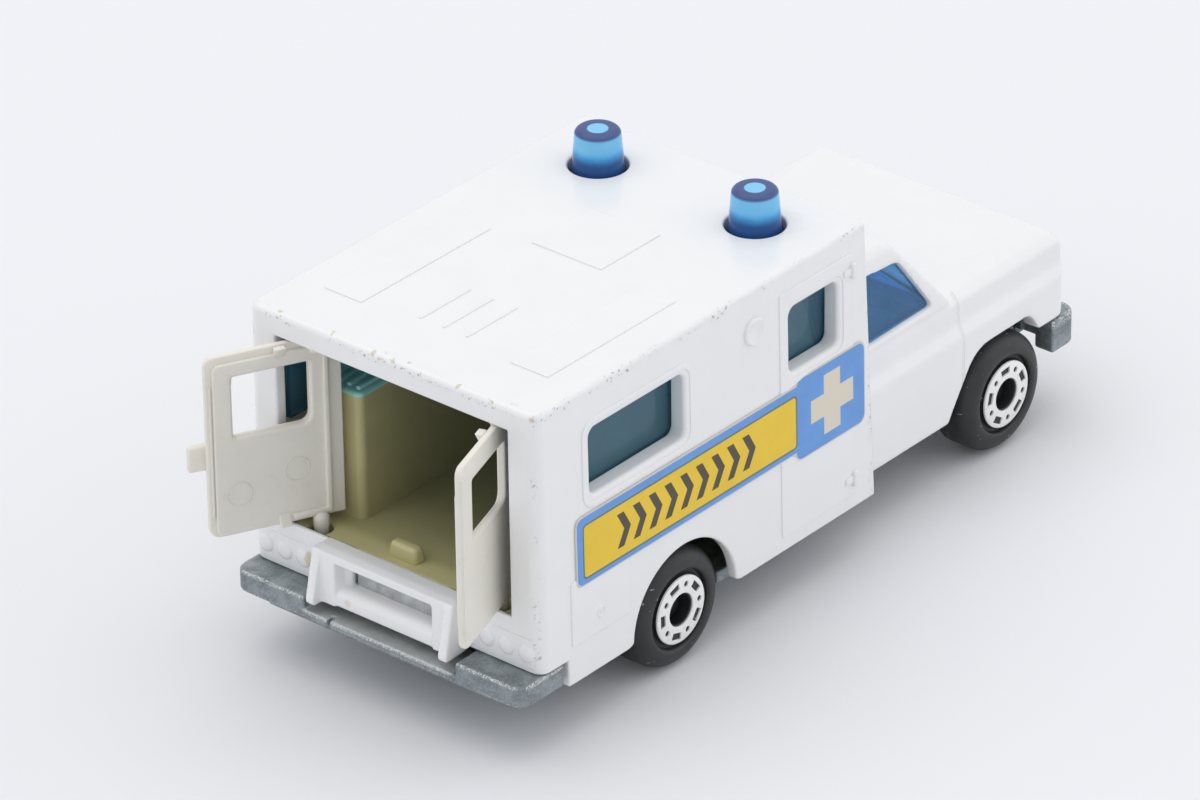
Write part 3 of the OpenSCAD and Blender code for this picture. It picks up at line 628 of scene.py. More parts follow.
def blue_finish():
    f = Finish("Blue_plastic", IOR=1.4, Transmission_Weight=0.82)
    # One blue plastic, lighter on the cab windows: painted light
    tone = f.mix(f.x.rise(0.5, 2.5), shade("blue"), shade("lit_cab_blue"))
    # Darker patches at random over the glass: painted shade
    cloud = f.noise(0.3, 2, 0.5, 4.0).rise(0.3, 0.75) * 0.15
    f.feed("Base Color", f.mix(cloud, tone, (0.02, 0.05, 0.1)))
    f.feed("Roughness", 0.03 + f.noise(1.2, 3, 0.6).rise(0.45, 0.8) * 0.09)
    f.bump(f.noise(0.7, 2), 0.02, 0.35)
    return f


def beacon_finish():
    """Clear blue that is deep round the top, with painted shade at the foot and painted light on the
    upper walls and in the hollow core.
    """
    f = Finish("Beacon_plastic", IOR=1.3, Transmission_Weight=0.15)
    across, along = abs(f.y) - BEACON_Y, f.x - BEACON_X
    radius = (across * across + along * along).math("SQRT")
    deep, light = shade("beacon_deep"), shade("beacon_core")
    # Flat top: a deep rim round a painted light dot over the hollow core
    lid = f.mix(radius.fall(0.82, 0.95), shade("beacon_rim"), light)
    cloud = f.noise(0.7, 2)
    # Walls: painted light towards the top and painted shade at the foot
    wall = f.mix(f.z.rise(32.5, 33.4) * (0.45 + cloud * 0.6), shade("beacon"), light)
    wall = f.mix((f.z + cloud * 0.4).fall(32.1, 33.3), wall, deep)
    f.feed("Base Color", f.mix(f.z.rise(34.15, 34.4), wall, lid))
    f.feed("Roughness", 0.05 + f.noise(1.5, 2).rise(0.4, 0.8) * 0.08)
    f.bump(f.noise(0.9, 2), 0.02, 0.3)
    return f


def tyre_finish():
    f = Finish("Tyre", IOR=1.5)
    lint = f.noise(1.3, 2, 0.5, 1.0, (1.0, 1.0, 3.5)).rise(0.715, 0.735)
    lint = lint.most(f.cells(0.75, (3.1, 1.7, 0.4)).fall(0.06, 0.085))
    haze = f.noise(0.35, 3, 0.5, 6.0)
    tone = f.mix(haze.rise(0.35, 0.75), shade("tyre"), toned(shade("tyre"), 1.9))
    f.feed("Base Color", f.mix(lint * 0.6, tone, (0.45, 0.45, 0.44)))
    f.feed("Roughness", 0.36 + haze * 0.22)
    f.bump(f.noise(3.5, 2) + haze * 0.5, 0.02, 0.5)
    return f


def hub_finish():
    f = Finish("Hub_print", IOR=1.5)
    rub = f.noise(2.6, 3, 0.6, 2.0).rise(0.6, 0.72)
    f.feed("Base Color", f.mix(rub * 0.35, shade("hub"), toned(shade("hub"), 0.62)))
    f.feed("Roughness", 0.3 + rub * 0.2)
    f.bump(f.noise(5.0, 2), 0.012, 0.4)
    return f


def steel_finish():
    f = Finish("Steel", Metallic=0.6, IOR=1.5)
    streak = f.noise(1.5, 3, 0.6, 1.0)
    # The near-black colour paints the shade of the hub's hollow centre onto the axle head
    f.feed("Base Color", f.mix(streak, shade("steel"), toned(shade("steel"), 1.8)))
    f.feed("Roughness", 0.4 + streak * 0.2)
    return f


def lens_finish():
    f = Finish("Headlamp", Metallic=0.85, IOR=1.5)
    fine = f.noise(3.0, 2)
    f.feed("Base Color", f.mix(fine, (0.6, 0.6, 0.6), (0.75, 0.75, 0.74)))
    f.feed("Roughness", 0.25 + fine * 0.15)
    return f


def rounded_panel(f, x0, z0, x1, z1, radius):
    """Distance in millimetres outside a round-cornered panel on a side wall."""
    across = (abs(f.x - (x0 + x1) / 2) - ((x1 - x0) / 2 - radius)).most(0.0)
    up = (abs(f.z - (z0 + z1) / 2) - ((z1 - z0) / 2 - radius)).most(0.0)
    return (across * across + up * up).math("SQRT") - radius


def label_finish():
    """Blue ground, yellow panel with dark chevrons, and a plain cream cross."""
    f = Finish("Label_print", IOR=1.48)
    crisp = 0.035
    panel = rounded_panel(f, -35.0, 14.4, -8.1, 19.15, 0.35)
    key = abs(panel - 0.05).fall(0.07, 0.07 + crisp)
    yellow = panel.fall(-crisp, crisp)
    # Chevrons in a row, pointing forwards
    middle, tall, pitch, count, first = 16.78, 1.55, 1.98, 9, -30.6
    up = f.z - middle
    along = (f.x - first + abs(up) * 0.55) / pitch
    stripe = abs(along.math("FRACT") - 0.5).fall(0.2, 0.225)
    row = along.rise(0.0, 0.01) * along.fall(count - 0.01, count) * abs(up).fall(tall, tall + crisp)
    # Cross on the square end
    wide, reach = 1.05, 2.75
    dx, dz = abs(f.x + 3.4), abs(f.z - 16.75)
    upright = dx.fall(wide, wide + crisp) * dz.fall(reach, reach + crisp)
    level = dz.fall(wide, wide + crisp) * dx.fall(reach, reach + crisp)
    cross = upright.most(level)
    # Paper edge round the band and its taller front end
    band = rounded_panel(f, LABEL_REAR, LABEL_LOW, -7.0, LABEL_HIGH, 0.8)
    flare = rounded_panel(f, -8.2, LABEL_LOW - LABEL_DROP, LABEL_FRONT, LABEL_HIGH + LABEL_RISE, 0.9)
    rim = band.least(flare).rise(-0.15, -0.1)
    fibre = f.noise(7.0, 3, 0.6, 2.0)
    fade = f.noise(0.35, 3, 0.55, 5.0)
    blue = f.mix(fade.rise(0.3, 0.75), shade("label_blue"), toned(shade("label_blue"), 1.12))
    gold = f.mix(fade.rise(0.3, 0.75), shade("label_yellow"), toned(shade("label_yellow"), 0.93))
    art = f.mix(yellow, blue, gold)
    art = f.mix(key * 0.8, art, (0.1, 0.14, 0.06))
    art = f.mix(yellow * stripe * row, art, shade("label_dark"))
    art = f.mix(cross, art, shade("label_cream"))
    art = f.mix(rim * 0.85, art, shade("label_cream"))
    art = f.mix(fibre.rise(0.62, 0.75) * 0.12, art, (0.7, 0.7, 0.68))
    f.feed("Base Color", art)
    f.feed("Roughness", 0.4 + fibre * 0.15)
    f.bump(fibre, 0.012, 0.4)
    return f


MAKERS = {"enamel": enamel_finish, "zinc": zinc_finish, "door": door_finish,
          "interior": interior_finish, "blue": blue_finish, "beacon": beacon_finish,
          "tyre": tyre_finish, "hub": hub_finish, "steel": steel_finish, "lens": lens_finish,
          "label": label_finish}
MADE = {}


def finish(name):
    """Each finish is made once and shared by its pieces."""
    if name not in MADE:
        MADE[name] = MAKERS[name]()
    return MADE[name]


# Pieces

class AMBULANCE_OT_stage(bpy.types.Operator):
    """Set up the floor, the lamps, the world and the camera"""

    bl_idname = "ambulance.stage"
    bl_label = "Stage"
    bl_options = {"REGISTER", "UNDO"}

    FLOOR_RADIUS, FLOOR_BAND = 6, 3
    # Place, aim, size and power of each lamp
    LAMPS = (("Overhead", (0.0, 0.2, 1.25), (0, 0, 0), 1.8, 6.6),
             ("Rear_fill", (-0.9, 0.75, 0.55), (0, 0, 0.015), 1.9, 2.0),
             ("Side_fill", (0.95, -0.95, 0.7), (0, 0, 0.015), 2.2, 5.2))
    LIGHT_TINT, LIGHT_STRENGTH = (0.97, 0.985, 1, 1), 0.7
    BACKDROP_TINT, BACKDROP_STRENGTH = (0.86, 0.87, 0.9, 1), 1.0
    SENSOR, LENS = 36, 239.286
    CAMERA_SPOT = (-0.449151, -0.369749, 0.339861)
    CAMERA_RIGHT, CAMERA_UP = (0.64256, -0.76614, -0.01245), (0.38502, 0.30879, 0.86972)

    def execute(self, context):
        scene = context.scene
        scene.view_settings.view_transform = "Standard"
        clear_selection()
        bpy.ops.mesh.primitive_circle_add(vertices=96, radius=self.FLOOR_RADIUS,
                                          fill_type="NGON")
        ground = named(bpy.context.object, "Floor")
        with Editing(ground) as edit:
            edit.everything()
            bpy.ops.mesh.inset(thickness=self.FLOOR_BAND)
        f = Finish("Studio_floor", IOR=1.4, Roughness=0.7)
        tone = f.noise(0.004, 2, 0.5, 1.0)
        lint = f.cells(0.055, (13.0, 4.0, 0.0)).fall(0.018, 0.03)
        lint = lint * f.noise(2.0, 3, 0.7).rise(0.5, 0.6)
        ground_tone = f.mix(tone, toned(shade("floor"), 0.985), shade("floor"))
        f.feed("Base Color", f.mix(lint * 0.12, ground_tone, (0.5, 0.5, 0.5)))
        ground.data.materials.append(f.material)
        for lamp in self.LAMPS:
            self.lamp(*lamp)
        self.world(scene)
        self.camera(scene)
        return {"FINISHED"}

    def lamp(self, name, spot, aim, size, power):
        bpy.ops.object.light_add(type="AREA", location=spot)
        lamp = bpy.context.object
        lamp.name = name
        lamp.data.shape, lamp.data.size, lamp.data.energy = "DISK", size, power
        lamp.rotation_euler = (Vector(aim) - Vector(spot)).to_track_quat("-Z", "Y").to_euler()

    def world(self, scene):
        """Even light, and a pale backdrop that the camera, reflections and clear plastic show."""
        world = bpy.data.worlds.new("Studio")
        scene.world = world
        world.use_nodes = True
        tree = world.node_tree
        tree.nodes.clear()
        rays = tree.nodes.new("ShaderNodeLightPath").outputs
        blend = tree.nodes.new("ShaderNodeMixShader")
        out = tree.nodes.new("ShaderNodeOutputWorld")
        for i, tint, strength in ((1, self.LIGHT_TINT, self.LIGHT_STRENGTH),
                                  (2, self.BACKDROP_TINT, self.BACKDROP_STRENGTH)):
            glow = tree.nodes.new("ShaderNodeBackground")
            glow.inputs["Color"].default_value = tint
            glow.inputs["Strength"].default_value = strength
            tree.links.new(glow.outputs[0], blend.inputs[i])
        shown = rays["Is Camera Ray"]
        for kind in ("Is Glossy Ray", "Is Transmission Ray"):
            either = tree.nodes.new("ShaderNodeMath")
            either.operation = "MAXIMUM"
            tree.links.new(shown, either.inputs[0])
            tree.links.new(rays[kind], either.inputs[1])
            shown = either.outputs[0]
        tree.links.new(shown, blend.inputs[0])
        tree.links.new(blend.outputs[0], out.inputs[0])

    def camera(self, scene):
        bpy.ops.object.camera_add()
        camera = bpy.context.object
        camera.name = "Camera"
        camera.data.sensor_width, camera.data.lens = self.SENSOR, self.LENS
        camera.data.clip_start, camera.data.clip_end = 0.01, 50
        right, up = Vector(self.CAMERA_RIGHT), Vector(self.CAMERA_UP)
        turn = Matrix((right, up, right.cross(up))).transposed().to_4x4()
        camera.matrix_world = Matrix.Translation(self.CAMERA_SPOT) @ turn
        scene.camera = camera


class AMBULANCE_OT_box(bpy.types.Operator):
    """Model the painted box with its doorway, windows and wheel arches"""

    bl_idname = "ambulance.box"
    bl_label = "Box"
    bl_options = {"REGISTER", "UNDO"}

    ARCH_R = 6.5

    def execute(self, context):
        shell = block("Body_box", (REAR, -HALF, SKIRT), (FRONT, HALF, ROOF))
        draft = FRONT - FRONT_TOP
        with Editing(shell) as edit:
            for side in (-1, 1):
                edit.pick("verts", lambda p, v: p.z > ROOF - 1 and p.y * side > 0)
                edit.move(y=side * (HALF_TOP - HALF))
            edit.pick("verts", lambda p, v: p.z > ROOF - 1 and p.x > 0).move(x=-draft)
            edit.pick("edges", lambda p, e: p.x < REAR + 0.1 and abs(p.y) > 15).bevel(1.1, 6)
            edit.pick("edges", lambda p, e: p.z > ROOF - 0.01 and p.x < 0).bevel(0.5, 5)

            def on_front(p):
                return abs(p.x - FRONT + (p.z - SKIRT) * draft / (ROOF - SKIRT)) < 0.02
            edit.pick("edges", lambda p, e: p.z > SKIRT + 0.1
                      and all(on_front(v.co / MM) for v in e.verts))
            edit.bevel(0.3, 3)
        carve(shell,
              block("Tail_cut", (-50, -20, 0), (REAR + 3.35, 20, TAIL)),
              block("Hollow", (REAR_IN, -HALF_IN, -1), (FRONT_IN, HALF_IN, ROOF_IN)),
              block("Cab_way", (-2, -CAB_IN, -1), (6, CAB_IN, 16.2)),
              block("Doorway", (-45, -OPEN_HALF, SILL), (-38.5, OPEN_HALF, LINTEL)),
              block("Recess", (-44, -4.7, 8.7), (-39.1, 4.7, 11.3)))
        for x0, x1 in WINDOWS:
            window = rounded(x0, WINDOW_LOW, x1, WINDOW_HIGH, 0.75)
            carve(shell, prism("Window", window, "XZ", -20, 20))
        for side in (-1, 1):
            carve(shell,
                  drum("Arch", (-AXLE_X, side * 16, SKIRT), self.ARCH_R, 7, "Y", 96),
                  self.arch_room(side * 12.9),
                  drum("Beacon_hole", (BEACON_X, side * BEACON_Y, 30.5), 2.56, 4, "Z", 72))
        with Editing(shell) as edit:
            edit.tidy()
            edit.pick("edges", lambda p, e: abs(p.z - SKIRT) < 0.03 and abs(p.y) > 13
                      and abs(abs(p.x + AXLE_X) - self.ARCH_R) < 0.05)
            edit.bevel(0.9, 5)
            for x0, x1 in WINDOWS:
                edit.pick("edges", lambda p, e: self.on_window(p, x0, x1) and abs(p.y) > 15)
                edit.bevel(0.4, 5)
        soften(shell, sizes().soft_edge / MM)
        dress(shell, finish("enamel"), "chassis", ["body_shell"])
        return {"FINISHED"}

    @staticmethod
    def arch_room(y):
        """Room for the wheel behind the arch's lip, below the interior floor."""
        room = drum("Arch_room", (-AXLE_X, y, SKIRT), 7.4, 3, "Y", 96)
        below = block("Below_floor", (-40, -20, -10), (0, 20, FLOOR - 0.05))
        return carve(room, below, how="INTERSECT")

    @staticmethod
    def on_window(p, x0, x1):
        """True for a point on the rim of a window's hole."""
        inside = x0 - 0.05 < p.x < x1 + 0.05 and WINDOW_LOW - 0.05 < p.z < WINDOW_HIGH + 0.05
        edge = min(p.x - x0, x1 - p.x, p.z - WINDOW_LOW, WINDOW_HIGH - p.z)
        return inside and edge < 0.4


class AMBULANCE_OT_box_relief(bpy.types.Operator):
    """Model the low raised shapes on the box's roof and sides"""

    bl_idname = "ambulance.box_relief"
    bl_label = "Box relief"
    bl_options = {"REGISTER", "UNDO"}

    RIM = 0.55

    def on_wall(self, name, outline, proud):
        """A plate on the right wall, drawn in X and Z, that leans with the wall."""
        return onto_wall(prism(name, outline, "XZ", -proud, 0.5))

    def round_window(self, window, far, corner):
        """A window's outline with a margin all round."""
        x0, x1 = window
        return rounded(x0 - far, WINDOW_LOW - far, x1 + far, WINDOW_HIGH + far, corner)

    def execute(self, context):
        rear, front = WINDOWS
        # Side door and the thin frames round the windows
        door = self.on_wall("Side_door", rounded(-9.95, 6.5, -0.45, 29.2, 0.25, 2), 0.1)
        carve(door, prism("Window", self.round_window(front, self.RIM, 1.1), "XZ", -20, 0))
        pieces = [soften(door, 0.07)]
        ring = self.on_wall("Frame", self.round_window(rear, self.RIM + 0.5, 1.4), 0.1)
        carve(ring, prism("Window", self.round_window(rear, self.RIM, 1.1), "XZ", -20, 0))
        pieces.append(soften(ring, 0.08))
        hatch = self.on_wall("Hatch", rounded(-36.6, 8.7, -29.3, 14.6, 0.2, 2), 0.12)
        pieces.append(soften(hatch, 0.09))
        # Round boss above, and the ring and dot of the hatch lock
        pieces.append(self.disc(-13.2, 27.35, [
            (0, 0.16), (0.75, 0.16), (0.95, 0.27), (1.1, 0.27), (1.22, 0.15), (1.25, -0.5), (0, -0.5)]))
        pieces.append(self.disc(-33.0, 10.5, [
            (0, 0.2), (0.14, 0.19), (0.2, 0.1), (0.3, 0.1), (0.36, 0.19), (0.48, 0.19), (0.56, 0.08),
            (0.58, -0.4), (0, -0.4)]))
        # Hinges of the side door
        x, half = -0.55, 0.75
        for z in (27.6, 8.1):
            outline = rounded(x - 0.24, z - half, x + 0.24, z + half, 0.2)
            knuckle = self.on_wall("Knuckle", outline, 0.42)
            leaf = self.on_wall("Hinge_leaf", rounded(x - 1.15, z - 0.32, x, z + 0.32, 0.15, 2), 0.26)
            pieces += [soften(knuckle, 0.15), soften(leaf, 0.07, 2)]
        right = gather("Side_relief_right", pieces)
        left = twin(right, "Side_relief_left")
        for piece in (right, left):
            dress(piece, finish("enamel"), "chassis")
        roof = []
        for side in (-1, 1):
            roof.append(self.on_roof(-34.75, side * 9.8 - 2, -18.75, side * 9.8 + 2))
        roof.append(self.on_roof(-18.55, -3.7, -10.95, 3.7))
        for i in (-1, 0, 1):
            roof.append(self.on_roof(-33.75, i * 2.45 - 0.15, -27.55, i * 2.45 + 0.15))
        dress(gather("Roof_relief", roof), finish("enamel"), "chassis")
        return {"FINISHED"}

    def on_roof(self, x0, y0, x1, y1):
        """A low plate on the roof between two corners."""
        plate = prism("Roof_plate", rounded(x0, y0, x1, y1, 0.12, 2), "XY", ROOF - 0.5, ROOF + 0.12)
        return soften(plate, 0.07, 2)

    def disc(self, x, z, profile):
        """A round boss on the right wall."""
        piece = turned("Boss", profile, 48)
        wall = -(HALF - (z - SKIRT) * math.tan(math.radians(LEAN)))
        return apply_place(piece, at(x, wall, z) @ turn_by(90, "X"))


class AMBULANCE_OT_tail(bpy.types.Operator):
    """Model the tail plate with its step recess, fins and lamp discs"""

    bl_idname = "ambulance.tail"
    bl_label = "Tail"
    bl_options = {"REGISTER", "UNDO"}

    FACE, BACK = -41.9, REAR + 0.4
    FOOT, LEDGE, RECESS_TOP, HEAD = 7.2, 8.85, 11.25, 12.2
    HALF_STEP, HALF_RECESS = 7.3, 5.2

    def execute(self, context):
        pieces = [cast(self.step(), grain=0.12, passes=3)]
        sill = block("Sill", (REAR - 0.03, -12.4, SILL - 0.6),
                     (self.BACK - 0.05, 12.4, self.HEAD - 0.05))
        pieces.append(soften(sill, 0.12))
        for side in (-1, 1):
            y0, y1 = sorted((side * 8.3, side * 14.6))
            outline = rounded(y0, TAIL + 0.5, y1, SILL - 0.75, 0.2, 2)
            panel = prism("Lamp_panel", outline, "YZ", REAR - 0.1, REAR + 0.4)
            pieces.append(soften(panel, 0.06, 2))
            for i in range(3):
                pieces.append(self.lamp(side * (9.8 + 2.05 * i)))
        dress(gather("Body_tail", pieces), finish("enamel"), "chassis")
        return {"FINISHED"}

    def step(self):
        """The step: bars over and under a recess, posts beside it and a fin on each post."""
        face, back, foot, ledge = self.FACE, self.BACK, self.FOOT, self.LEDGE
        top, head, half, inside = self.RECESS_TOP, self.HEAD, self.HALF_STEP, self.HALF_RECESS
        over = [(back, top), (face, top), (face, head - 0.2), (face + 0.7, head), (back, head)]
        under = eased([(back, foot), (face + 0.1, foot), (face + 0.1, ledge - 0.5), (-41.2, ledge),
                       (back, ledge)], [0.1, 0.2, 0.5, 0.6, 0.1])
        post = [(face, half), (face, inside), (-40.9, inside - 0.25), (-40.45, inside - 0.7),
                (back, inside - 0.7), (back, half)]
        fin = eased([(-40.2, foot), (-40.2, head - 0.3), (face, head - 0.1), (-42.95, 7.5),
                     (-42.8, foot - 0.1), (-42.2, foot - 0.1)], 0.2)
        pieces = [prism("Step", over, "XZ", -half, half),
                  prism("Under", under, "XZ", -half + 0.5, half - 0.5)]
        for side in (-1, 1):
            pieces.append(prism("Post", [(x, side * y) for x, y in post], "XY", foot, top + 0.3))
            middle = side * (half - 0.2)
            pieces.append(prism("Fin", fin, "XZ", middle - 0.45, middle + 0.45))
        return carve(*pieces, how="UNION")

    def lamp(self, y):
        """One round lamp on the tail."""
        disc = turned("Lamp", [(0, 0.24), (0.42, 0.23), (0.65, 0.19), (0.8, 0.1), (0.87, 0.0),
                               (0.88, -0.4), (0, -0.4)], 48)
        return apply_place(disc, at(REAR - 0.05, y, TAIL + 1.8) @ turn_by(-90, "Y"))


class AMBULANCE_OT_cab(bpy.types.Operator):
    """Model the painted cab: wings, bonnet, doors and roof"""

    bl_idname = "ambulance.cab"
    bl_label = "Cab"
    bl_options = {"REGISTER", "UNDO"}

    SECTION = [(CAB_HALF, 4.0), (CAB_HALF, 13.5), (13.3, 14.6), (13.2, 16.5), (12.4, 17.4),
               (9.4, 18.45), (8.6, 18.6)]
    BONNET, BONNET_X, NOSE_TOP = 18.6, 14.25, 17.5

    def execute(self, context):
        cab = self.lower()
        carve(cab, self.house("House", 0), how="UNION")
        side = eased([(2.2, 17.35), (13.2, 17.55), (9.9, 22.75), (2.2, 23.35)], 0.6)
        screen = eased(both_halves([(11.2, 18.95), (9.9, 23.9)]), 0.7)
        carve(cab,
              block("Hollow", (-2, -CAB_IN, -1), (NOSE - 1.1, CAB_IN, 16.2)),
              self.house("House_hollow", 1.1),
              block("Grille_hole", (28, -10.5, 8), (40, 10.5, 15.8)),
              prism("Side_window", side, "XZ", -20, 20),
              prism("Windscreen", screen, "YZ", 9.6, 20))
        for y in (-20, CAB_IN):
            carve(cab, prism("Arch", self.arch(), "XZ", y, y + 20 - CAB_IN))
        named(cast(cab, grain=0.2, passes=4), "Body_cab")
        dress(cab, finish("enamel"), "chassis")
        return {"FINISHED"}

    def lower(self):
        """The wings and bonnet: one section along the cab, kept within a side view and a plan."""
        body = prism("Body_cab", eased(both_halves(self.SECTION), 0.25), "YZ", 0.4, NOSE)
        view = eased([(0, 5.9), (AXLE_X, 5.9), (AXLE_X, 9.7), (NOSE, 9.7), (NOSE, 16.0),
                      (30.1, self.NOSE_TOP), (self.BONNET_X, self.BONNET), (0, self.BONNET)], 0.6)
        plan = eased([(0, -CAB_HALF), (NOSE, -CAB_HALF), (NOSE, CAB_HALF), (0, CAB_HALF)],
                     [0.1, 1.6, 1.6, 0.1])
        return carve(body, prism("View", view, "XZ", -20, 20), prism("Plan", plan, "XY", 0, 40),
                     how="INTERSECT")

    def arch(self):
        """The front wheel arch, which slopes at the back and is steep in front."""
        room = 6.25
        top = AXLE_Z + room
        line = [(-room - 2, 4.9), (-room - 1.45, 6.2), (1.35 - room, top - 1.25),
                (2.35 - room, top - 0.4), (3.65 - room, top - 0.05), (room - 3.25, top),
                (room - 2.55, top - 0.45), (room - 1.15, 8.9), (room - 1.15, 4.9)]
        return eased([(AXLE_X + a, b) for a, b in line], 0.7)

    @staticmethod
    def house(name, inset):
        """The upper cab, drawn the given distance inside its outer faces."""
        low, rear = (14.0, -1) if inset else (16.8, 0.4)
        top, slope = 25.2 - inset, 1.3 * inset
        half = [(13.2 - inset, low), (13.2 - inset, 17.5), (11.6 - inset, top - 0.7),
                (10.8 - inset, top)]
        piece = prism(name, eased(both_halves(half), 0.5), "YZ", rear, 16)
        view = eased([(-2, low), (15.64 - slope, low), (14.65 - slope, 18.0), (9.15 - slope, top - 0.5),
                      (8.25 - slope, top), (-2, top)], 0.6)
        return carve(piece, prism("View", view, "XZ", -20, 20), how="INTERSECT")


class AMBULANCE_OT_base(bpy.types.Operator):
    """Model the bare metal base with its bumpers, grille and axle housings"""

    bl_idname = "ambulance.base"
    bl_label = "Base"
    bl_options = {"REGISTER", "UNDO"}

    # Plates of the base: rear end, front end, half width, lowest and highest point
    PLATES = ((-41.4, -37.4, 13.0, 4.3, 6.0), (-40.15, -28.9, 13.4, 4.1, 5.3),
              (-29.9, -14.8, 10.7, 4.12, 5.28), (-15.8, -0.1, 13.4, 4.1, 5.3),
              (-1.1, 15.8, 11.9, 4.12, 5.28), (14.8, 28.65, 9.7, 4.1, 5.3),
              (28.15, 29.25, 9.7, 4.12, 9.7), (28.65, 31.15, 9.7, 6.6, 9.4),
              (-40.15, -39.05, 4.3, 8.6, 11.35), (-AXLE_X - 1.7, -AXLE_X + 1.7, 10.7, 4.05, 6.6),
              (AXLE_X - 1.7, AXLE_X + 1.7, 9.7, 4.05, 6.6))

    def execute(self, context):
        edge = sizes().zinc_edge / MM
        rear = self.bar("Rear_bumper", face=-42.85, end=-37.5, half=15.45, thick=4.0, radius=1.3,
                        low=5.6, high=7.55)
        carve(rear,
              block("Step", (-44, -8.4, 6.35), (-38, 7.85, 9)),
              block("Split", (-44, 5.08, 4), (-42.0, 5.33, 9)))
        pieces = [soften(rear, edge, limit=40)]
        front = self.bar("Front_bumper", face=32.45, end=28.75, half=14.0, thick=2.0, radius=1.6,
                         low=6.5, high=9.5)
        pieces.append(soften(front, edge, limit=40))
        for x0, x1, half, low, high in self.PLATES:
            plate = block("Plate", (x0, -half, low), (x1, half, high))
            pieces.append(soften(plate, 0.2))
        pieces.append(self.grille())
        # Spun rivet heads
        for x in (-34.55, 26.1):
            head = turned("Rivet", [(0, -0.3), (0.5, -0.3), (0.9, -0.42), (1.5, -0.3), (1.9, 0.0),
                                    (1.95, 0.4), (0, 0.4)], 48)
            pieces.append(apply_place(head, at(x, 0, 4.45)))
        dress(gather("Base", pieces), finish("zinc"), "chassis", ["base_plate"])
        lamps = []
        for side in (-1, 1):
            lens = turned("Headlamp", [(0, 0.62), (0.6, 0.58), (1.1, 0.4), (1.3, 0.2), (1.38, 0.34),
                                       (1.52, 0.34), (1.58, 0.1), (1.58, -0.5), (0, -0.5)], 48)
            lamps.append(apply_place(lens, at(30.55, side * 8.3, 12.75) @ turn_by(90, "Y")))
        dress(gather("Headlamps", lamps), finish("lens"), "chassis")
        return {"FINISHED"}

    def bar(self, name, face, end, half, thick, radius, low, high):
        """A bumper bar that wraps round its corners, seen from above."""
        way, start = (1, 0) if face > end else (-1, 180)
        inside = 0.9
        outer = arc(face - way * radius, half - radius, radius, start, 90)
        inner = arc(face - way * (thick + inside), half - thick - inside, inside, 90, start)
        half_line = outer + [(end, half), (end, half - thick)] + inner
        outline = half_line + [(x, -y) for x, y in reversed(half_line)]
        return prism(name, outline, "XY", low, high)

    def grille(self):
        """The grille with four slots across it."""
        plate = block("Grille", (29.0, -10.4, 7.5), (30.6, 10.4, 15.7))
        for i in range(4):
            low = 10.4 + 1.25 * i
            carve(plate, prism("Slot", rounded(-6.2, low, 6.2, low + 0.7, 0.2, 2), "YZ", 30.15, 32))
        return soften(plate, 0.1, 2)


class AMBULANCE_OT_glazing(bpy.types.Operator):
    """Model the clear blue window moulding and its two beacons"""

    bl_idname = "ambulance.glazing"
    bl_label = "Glazing"
    bl_options = {"REGISTER", "UNDO"}

    def execute(self, context):
        pane = block("Windows", (-38.2, -13.535, 20.35), (-0.2, 13.535, 29.75))
        carve(pane, block("Inside", (-40, -12.735, 19), (2, 12.735, 28.95)))
        soften(pane, 0.1, 2)
        dress(pane, finish("blue"), "chassis", ["window_moulding"])
        house = AMBULANCE_OT_cab.house
        glass = house("Cab_glass", 0.5)
        carve(glass, house("Inside", 1.4), block("Below", (-5, -20, 5), (20, 20, 16.5)))
        soften(glass, 0.08, 2)
        dress(glass, finish("blue"), "chassis", slivers=True)
        low, high = 29.76, 34.6
        core = [(0, high - 0.5), (0.55, high - 0.55), (0.85, high - 0.8), (1.0, high - 1.3),
                (1.25, low)]
        wall = [(2.28, low), (2.2, ROOF)] + arc(1.98 - 0.5, high - 0.5, 0.5, 8, 90, 6)
        cap = turned("Beacon", core + wall + [(0.6, high - 0.02), (0, high)], 64)
        for side, name in ((-1, "Beacon_right"), (1, "Beacon_left")):
            spot = at(BEACON_X, side * BEACON_Y, 0)
            beacon = placed_copy(cap, name, spot)
            dress(beacon, finish("beacon"), "chassis", angle=50)
        discard(cap)
        return {"FINISHED"}


